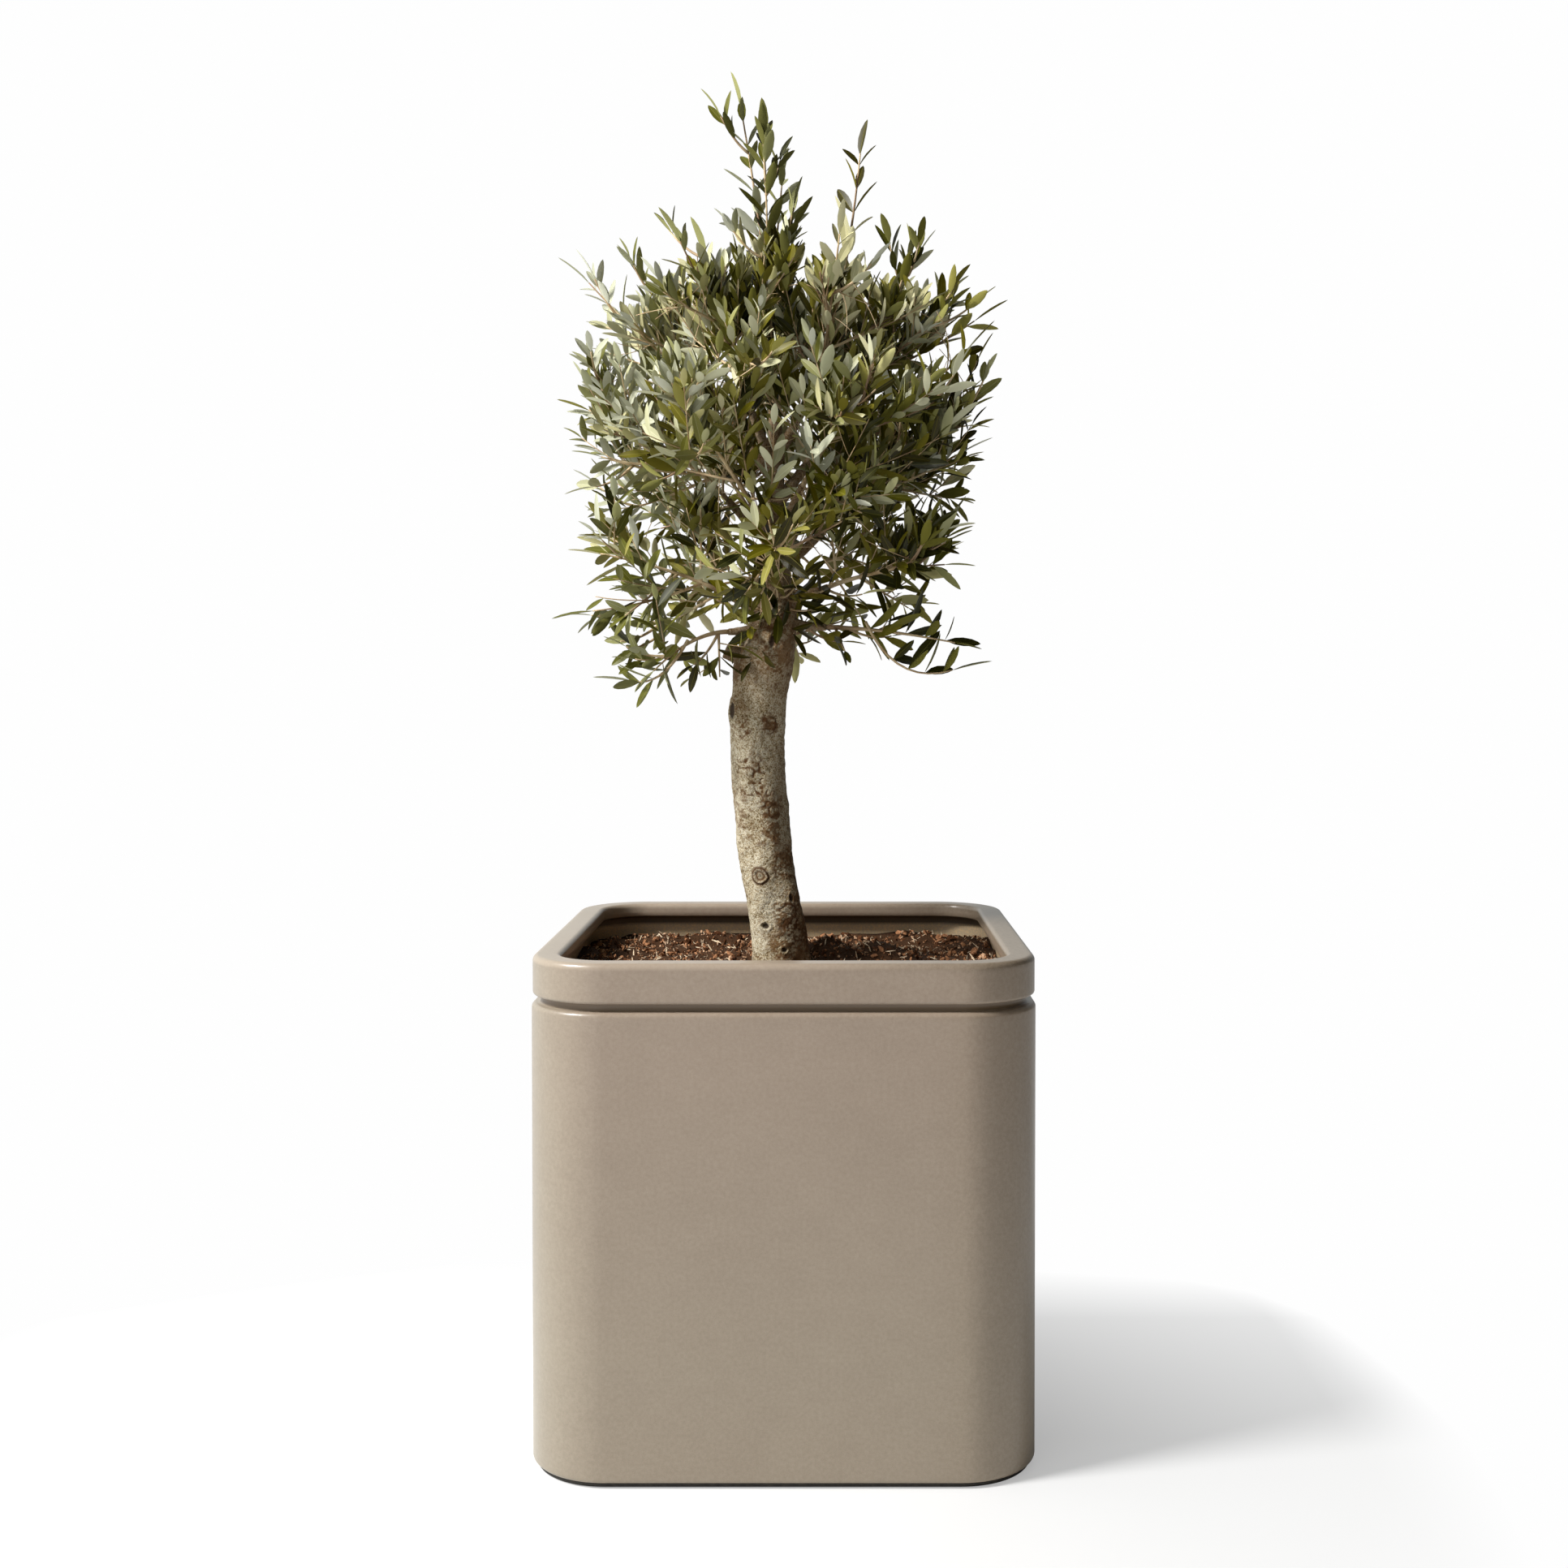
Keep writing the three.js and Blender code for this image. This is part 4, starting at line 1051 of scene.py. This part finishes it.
flakes = valueNoise(onStem, (9, 9, 7), 15)
relief = 0.9 * slow + 0.5 * fine + 0.28 * grain + 0.35 * np.maximum(flakes, 0)

# places on the bark: degrees round from the front, positive to the right, height and half sizes
marks = {
    "ring": [(-20, 565, 8.5, 8), (30, 727, 7, 8), (120, 640, 8, 8), (-140, 700, 7, 9), (-160, 520, 7, 7)],
    "pit": [(-22, 511, 4.2, 3.4), (12, 486, 2.6, 2.6), (-62, 743, 5, 10), (9, 819, 3.4, 9.5),
            (40, 541, 1.8, 4.5), (170, 560, 4, 6), (-105, 600, 4, 8)],
    "bump": [(66, 604, 9, 10), (58, 541, 9, 16), (-72, 743, 9, 16), (150, 500, 10, 12)],
    # places with brown, wandering cracks
    "cracks": [(-26, 724, 10, 13), (28, 728, 14, 14), (-30, 684, 20, 10), (4, 672, 10, 24),
               (24, 640, 15, 18), (-8, 655, 24, 5), (160, 690, 20, 22), (-130, 560, 18, 26),
               (110, 760, 16, 16), (30, 520, 16, 22), (-40, 470, 20, 12), (0, 838, 26, 12)],
    # warm brown patches
    "warm": [(22, 622, 13, 36), (32, 574, 14, 26), (26, 516, 18, 34), (-2, 660, 9, 14), (30, 728, 12, 12),
             (-28, 722, 8, 10), (-70, 790, 14, 26), (30, 812, 18, 30), (150, 600, 20, 40),
             (-150, 660, 18, 30), (95, 500, 18, 30), (-115, 500, 16, 24), (18, 492, 24, 26),
             (52, 562, 13, 44)],
}
faintRing = (30, 727)  # this one is half grown over


def fromMark(place, wobble=0.0):
    # distance over the bark from a mark's middle, 1 at its edge
    degrees, level, halfWidth, halfHeight = place
    over = np.angle(np.exp(1j * (angle - math.radians(degrees - 90)))) * trunkForm["radius"]
    return np.hypot(over / halfWidth, (height - level) / halfHeight) + wobble


pit, crack, warm = np.zeros_like(height), np.zeros_like(height), np.zeros_like(height)
for kind in ("ring", "pit", "bump"):
    for place in marks[kind]:
        away = fromMark(place, 0.13 * fine)
        if kind == "bump":
            relief += 2.4 * bell(away, 0, 1)
        elif kind == "pit":
            relief += 1.3 * bell(away, 1.35, 0.4) - 1.8 * bell(away, 0, 0.8)
            pit = np.maximum(pit, 1 - smoothStep(away, 0.72, 1.05))
        else:
            relief += 1.5 * bell(away, 0.95, 0.2) - 0.8 * bell(away, 0, 0.35)
            weight = 0.45 if place[:2] == faintRing else 1.0
            crack = np.maximum(crack, weight * np.maximum(bell(away, 1.1, 0.22), bell(away, 0.55, 0.17)))
            pit = np.maximum(pit, weight * (0.7 * bell(away, 1.1, 0.10) + 0.8 * bell(away, 0, 0.25)))
ridge = 1 - smoothStep(np.abs(valueNoise(onStem, (8, 8, 6), 51) + 0.3 * fine), 0.05, 0.16)
for place in marks["cracks"]:
    crack = np.maximum(crack, ridge * (1 - smoothStep(fromMark(place), 0.6, 1.1)))
mottled = smoothStep(fine + 0.9 * grain + 0.5 * slow, -0.35, 0.12)
for place in marks["warm"]:
    warm = np.maximum(warm, mottled * (1 - smoothStep(fromMark(place, 0.2 * slow), 0.5, 1.15)))
broad = smoothStep(valueNoise(onStem, (22, 22, 46), 31) + 0.3 * fine, 0.1, 0.6)
# painted shade: the right side and the part under the crown are browner
toRight = smoothStep(np.cos(angle), 0.1, 0.9)
underCrown = smoothStep(height, 735, 805) * (0.55 + 0.45 * mottled)
paintedShade = 0.30 * toRight + 0.75 * underCrown
warm = np.clip(warm + 0.45 * broad * mottled + paintedShade, 0, 1)
flecks = smoothStep(grain + 0.5 * fine - 0.3 * slow, 0.42, 0.72)
crack = np.maximum(crack, flecks * (0.3 + 0.6 * warm))
relief -= 0.5 * crack
radius = radius + relief * np.where(shrink < 1, 0.3, 1)
rings = centre + out * radius[..., None]
rings[..., 2] = height
trunkPoints, trunkFaces = closedRings(rings)
layers = {"pit": pit, "warm": warm, "crack": crack}
layers = {name: np.append(values, [0, 0]) for name, values in layers.items()}


def barkFinish():
    # grey-tan bark: pale lichen blotches, dark specks in the hollows, warm brown patches and painted shade
    bark = Finish("bark", roughness=0.9, specularIorLevel=0.25)
    slow = bark.noise(30.0, 4.0, 0.6)
    speck = bark.noise(620.0, 2.0, 0.6)
    blotch = bark.noise(210.0, 4.0, 0.7)
    grains = speck * 0.55 + blotch * 0.30 + slow * 0.25
    base = bark.ramp(grains, [
        (0.42, linear(78, 58, 33)), (0.48, linear(130, 113, 82)), (0.54, linear(165, 150, 122)),
        (0.61, linear(206, 197, 174))])
    # the warm layer holds brown patches and painted shade
    warm = bark.blend(bark.attribute("warm") * 0.9, base, linear(108, 78, 45))
    specked = bark.blend(bark.span(speck, 0.58, 0.70) * 0.55, warm, linear(84, 66, 42))
    cracked = bark.blend(bark.attribute("crack"), specked, linear(88, 58, 31))
    sunken = bark.blend(bark.attribute("pit") * 0.95, cracked, linear(44, 30, 18))
    bark.set(baseColor=sunken)
    bark.set(normal=bark.bump(blotch * 0.5 + speck * 0.5, 0.0022, 0.8))
    return bark


bark = barkFinish()
trunk = makePiece("trunk_bark", trunkPoints, trunkFaces, [bark], slot="bark", layers=layers)
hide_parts("trunk")

stubStart = trunkCentre(trunkForm["stubRoot"])
stubCurve = np.array([stubStart, (stubStart + trunkForm["stubTip"]) / 2, trunkForm["stubTip"]])
boughCurves = np.array(boughs + [stubCurve])
radii = [row.get("radii", growth["boughRadius"]) for row in limbs] + [trunkForm["stubRadius"]]
rings, ringOut = tubes(boughCurves, radii, barkForm["boughAround"], barkForm["boughAlong"],
                       growth["boughTaper"])
swell = barkForm["swell"] * np.exp(-np.linspace(0, 1, barkForm["boughAlong"])[None, :, None] * 6)
boughRelief = 0.5 * valueNoise(rings, 9, 41) + 0.25 * valueNoise(rings, 3, 42) + swell
boughPoints, boughFaces = joinedTubes(rings + ringOut * boughRelief[..., None])
# the boughs are browned like the trunk under the crown: painted shade
layers = {"pit": 0, "crack": 0, "warm": 0.75}
layers = {name: np.full(len(boughPoints), value) for name, value in layers.items()}
boughBark = makePiece("bough_bark", boughPoints, boughFaces, [bark], slot="bark", layers=layers)
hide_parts(*["bough_" + row["name"] for row in limbs])
print("bark done:", len(trunkFaces) + len(boughFaces), "faces")


# Twigs
tangle = {"count": 700, "length": (28.0, 74.0), "radius": 0.56, "seed": 33}


def tangleTwigs(form=tangle):
    # bare leftover twiglets: each leaves a twig at random and bends away, inside the crown
    random = np.random.default_rng(form["seed"])
    parents = firstTwigs + stems
    made = []
    for _ in range(form["count"]):
        parent = parents[random.integers(len(parents))]
        share = random.uniform(0.05, 0.7)
        start, along = bezier(parent, share), bezierWay(parent, share)
        way = unit(along * 0.5 + random.normal(size=3) * 0.8)
        size = random.uniform(*form["length"])
        knee = start + way * size * 0.5
        end = knee + unit(way + random.normal(size=3) * 0.5) * size * 0.5
        if start[2] > 885 and insideCrown(end, -42) and clearOfLimbs(end[None], 2)[0]:
            made.append(np.array([start, knee, end]))
    return made


def twigFinish():
    # straw-coloured young wood with brown stretches
    twig = Finish("twig_bark", roughness=0.75)
    streaks = twig.span(twig.noise(60.0), 0.35, 0.65)
    young = twig.blend(streaks, linear(168, 140, 100), linear(208, 186, 148))
    brown = twig.span(twig.noise(11.0), 0.5, 0.6) * 0.75
    twig.set(baseColor=twig.blend(brown, young, linear(112, 82, 56)))
    return twig


bareTwigs = tangleTwigs()
foliageNodes = ["foliage_" + row["name"] for row in limbs]
points, faces, offset = [], [], 0
for curves, size, around, along in (
        (stems, (growth["stemRadius"], growth["tipRadius"]), 7, 20),
        (firstTwigs, (growth["twigRadius"], growth["tipRadius"]), 6, 10),
        (fineTwigs, (0.82, 0.5), 5, 6),
        (bareTwigs, (tangle["radius"], 0.35), 4, 6)):
    tubePoints, tubeFaces = joinedTubes(tubes(curves, [size] * len(curves), around, along)[0])
    points.append(tubePoints)
    faces.append(tubeFaces + offset)
    offset += len(tubePoints)
twigs = makePiece("twigs", np.concatenate(points), np.concatenate(faces), [twigFinish()], slot="bark")
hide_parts(*foliageNodes)
print("twigs done:", sum(len(f) for f in faces), "faces")


# Leaves
leafForm = {
    "stations": (0.10, 0.28, 0.51, 0.75, 0.92),
    "widths": (0.28, 0.80, 1.0, 0.82, 0.42),
    "rib": 0.055, "fold": 0.22, "arch": 0.10, "thick": 0.35,
}


def leafTemplate(form=leafForm):
    # narrow ellipse: along 0..1, across -1..1 and height in shares of the half width;
    # rows of left edge, left of rib, right of rib, right edge, and one point under each row
    stations, widths = np.array(form["stations"]), np.array(form["widths"])
    rows = len(stations)
    rib = form["rib"] / np.maximum(widths, 0.3) * widths
    edges = np.stack([-widths, -rib, rib, widths], 1)
    folds = form["fold"] * np.abs(edges) * (1, 0, 0, 1)
    along = np.concatenate([[0], np.repeat(stations, 4), stations, [1]])
    across = np.concatenate([[0], edges.ravel(), np.zeros(rows + 1)])
    lift = np.concatenate([[0], folds.ravel(), np.full(rows, -0.25 * form["thick"]), [0]])

    def strip(left, right):
        # from the leaf's foot, between two columns of points, to its tip
        faces = [(0, right[0], left[0])]
        for r in range(rows - 1):
            faces += [(left[r], right[r], right[r + 1]), (left[r], right[r + 1], left[r + 1])]
        return faces + [(left[-1], right[-1], 1 + 5 * rows)]

    column = 1 + 4 * np.arange(rows) + np.arange(4)[:, None]
    under = 1 + 4 * rows + np.arange(rows)
    upper = [strip(column[c], column[c + 1]) for c in range(3)]
    lower = [np.array(strip(*pair))[:, [0, 2, 1]] for pair in ((column[0], under), (under, column[3]))]
    kinds = np.repeat([0, 1, 0, 2, 2], 2 * rows)  # blade, rib, blade and the two halves of the underside
    return along, across, lift, np.concatenate(upper + lower), kinds


def leafMesh(rows, random):
    # every leaf at once: root + way * along + side * across + face * (fold - arch of the blade)
    along, across, lift, faces, kinds = leafTemplate()
    root, way, face = [np.array([row[k] for row in rows]) for k in range(3)]
    size, longer, wider = np.array([row[3:6] for row in rows]).T
    length = size * mixed(spray["leafLength"], longer)
    width = mixed(spray["leafWidth"], wider) * (length / spray["leafLength"][1]) ** 0.6
    side = unit(np.cross(face, way))
    face = np.cross(way, side)
    arch = leafForm["arch"] * (0.3 + 1.4 * random.random(len(rows))) * length
    bend = random.normal(0, 0.05, len(rows)) * length
    half = width[:, None] / 2
    forth = along * length[:, None]
    askew = across * half + bend[:, None] * along ** 2
    height = lift * half - arch[:, None] * along ** 2
    points = (root[:, None] + way[:, None] * forth[..., None] + side[:, None] * askew[..., None]
              + face[:, None] * height[..., None])
    return points.reshape(-1, 3), repeated(faces, len(along), len(rows)), np.tile(kinds, len(rows))


# the tones are dealt partly by chance and partly by where light falls, as painted light and shade
leafTones = [  # share of the leaves, upper face, rib, underside
    ("leaves_deep", 0.30, (46, 45, 0), (84, 82, 24), (100, 97, 36)),
    ("leaves_olive", 0.21, (90, 88, 12), (118, 114, 46), (141, 139, 78)),
    ("leaves_sage", 0.21, (128, 126, 66), (155, 152, 104), (170, 169, 124)),
    ("leaves_pale", 0.28, (171, 170, 134), (190, 188, 156), (199, 198, 166)),
]
agedTone = ("leaves_aged", 0.0, (114, 107, 40), (140, 131, 68), (138, 129, 76))
leafParts = (("upper", 0.42, 0.22), ("rib", 0.5, 0.2), ("under", 0.65, 0.1))  # roughness and gloss
# fuller sprays are painted shade, greyer ones a painted sheen
hueShifts = [(0, 0, 0), (4, 0, -8), (-2, 0, 12)]  # plain, fuller and greyer sprays
dealing = {
    "seed": 5, "crown": 240.0, "middle": 1060.0,  # the crown's half width and the height of its middle
    "bySpray": 0.8, "byDepth": 0.36, "byLight": 0.5, "byLeaf": 0.35,  # what decides a leaf's tone
    "agedShare": 0.012, "agedLow": 0.06,  # share of yellowing leaves in the crown and at the fork
    "fuller": (0.50, 0.10), "greyer": (0.14, 0.72),  # shares of these sprays in the shade and in the light
    "palerShare": 0.35,  # of the leaves in full light, those that may be one tone paler
}
random = np.random.default_rng(dealing["seed"])
keys = np.array([row[6] for row in leaves])
x, y, z = np.array([row[0] for row in leaves]).T
left = crownX - x  # how far to the left of the crown's axis
depth = np.hypot(left, y) / dealing["crown"]
nearFork = (np.abs(left) < 90) & (z < 930)


def perSpray():
    # one number from 0 to 1 for each spray, shared by its leaves
    return random.random(keys.max() + 1)[keys]


# painted light and shade: deeper tones lie inside the crown and to the right, paler ones outside and to the
# left;
# the leader's end, a hollow left of the axis, the fork and the far left edge are deeper than that
toLight = 0.5 + 0.55 * left / dealing["crown"]
toLight += 0.4 * np.minimum(z - dealing["middle"], 150) / dealing["crown"]
toLight -= 0.12 * smoothStep(z, 1265, 1300)
toLight -= 0.16 * bell(left, 60, 70) * smoothStep(z, 1060, 1130)
toLight -= 0.12 * nearFork + 0.18 * smoothStep(left, 150, 210) * smoothStep(z, 850, 920)
dealt = perSpray() * dealing["bySpray"] + dealing["byDepth"] * depth + dealing["byLight"] * toLight
dealt += dealing["byLeaf"] * random.random(len(keys))
order = np.argsort(np.argsort(dealt)) / len(dealt)
group = np.searchsorted(np.cumsum([tone[1] for tone in leafTones])[:-1], order, side="right")
aged = np.where(nearFork, dealing["agedLow"], dealing["agedShare"] * (z < 1200))
group[perSpray() < aged] = len(leafTones)

# painted sheen and shade: greyer sprays where the light falls, fuller ones in the shade
upLeft = 0.5 + 0.5 * left / dealing["crown"] + 0.5 * (z - dealing["middle"]) / dealing["crown"]
lit = smoothStep(upLeft, 0.3, 0.9) * smoothStep(depth, 0.4, 0.8)
dealt = perSpray()
hueOf = np.where(dealt < mixed(dealing["fuller"], lit), 1, 0)
hueOf[dealt > 1 - mixed(dealing["greyer"], lit)] = 2
hueOf[(z > 1240) & (left > -50)] = 2

# the palest leaves stay off the top shoots and the sprays at the lower left, which stand in full light
paler = 1 + (random.random(len(keys)) < dealing["palerShare"]) * (left > -50) * (z < 1370)
bare = (z > 1285) | ((z > 1205) & (left > 60)) | ((z < 900) & (left > 110))
group = np.where(bare, np.minimum(group, paler), group)
group[(z > 1245) & (left < -50)] = 0
hueOf[bare & (left > 0)] = 2

for number, (name, share, *tones) in enumerate(leafTones + [agedTone]):
    chosen = [row for row, own in zip(leaves, group) if own == number]
    points, faces, kinds = leafMesh(chosen, random)
    kinds = kinds + len(leafParts) * np.repeat(hueOf[group == number], len(kinds) // len(chosen))
    finishes = []
    for hue, shift in enumerate(hueShifts):
        for (part, roughness, gloss), tone in zip(leafParts, tones):
            colour = linear(*np.clip(np.add(tone, shift), 0, 255))
            finishes.append(Finish(f"{name}_{part}_{hue}", baseColor=colour, roughness=roughness,
                                   specularIorLevel=gloss))
    piece = makePiece(name, points, faces, finishes, kinds, slot="foliage")
    piece.data.set_sharp_from_angle(angle=math.radians(60))
    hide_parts(*foliageNodes)
    print(name, len(chosen), "leaves,", len(faces), "faces")
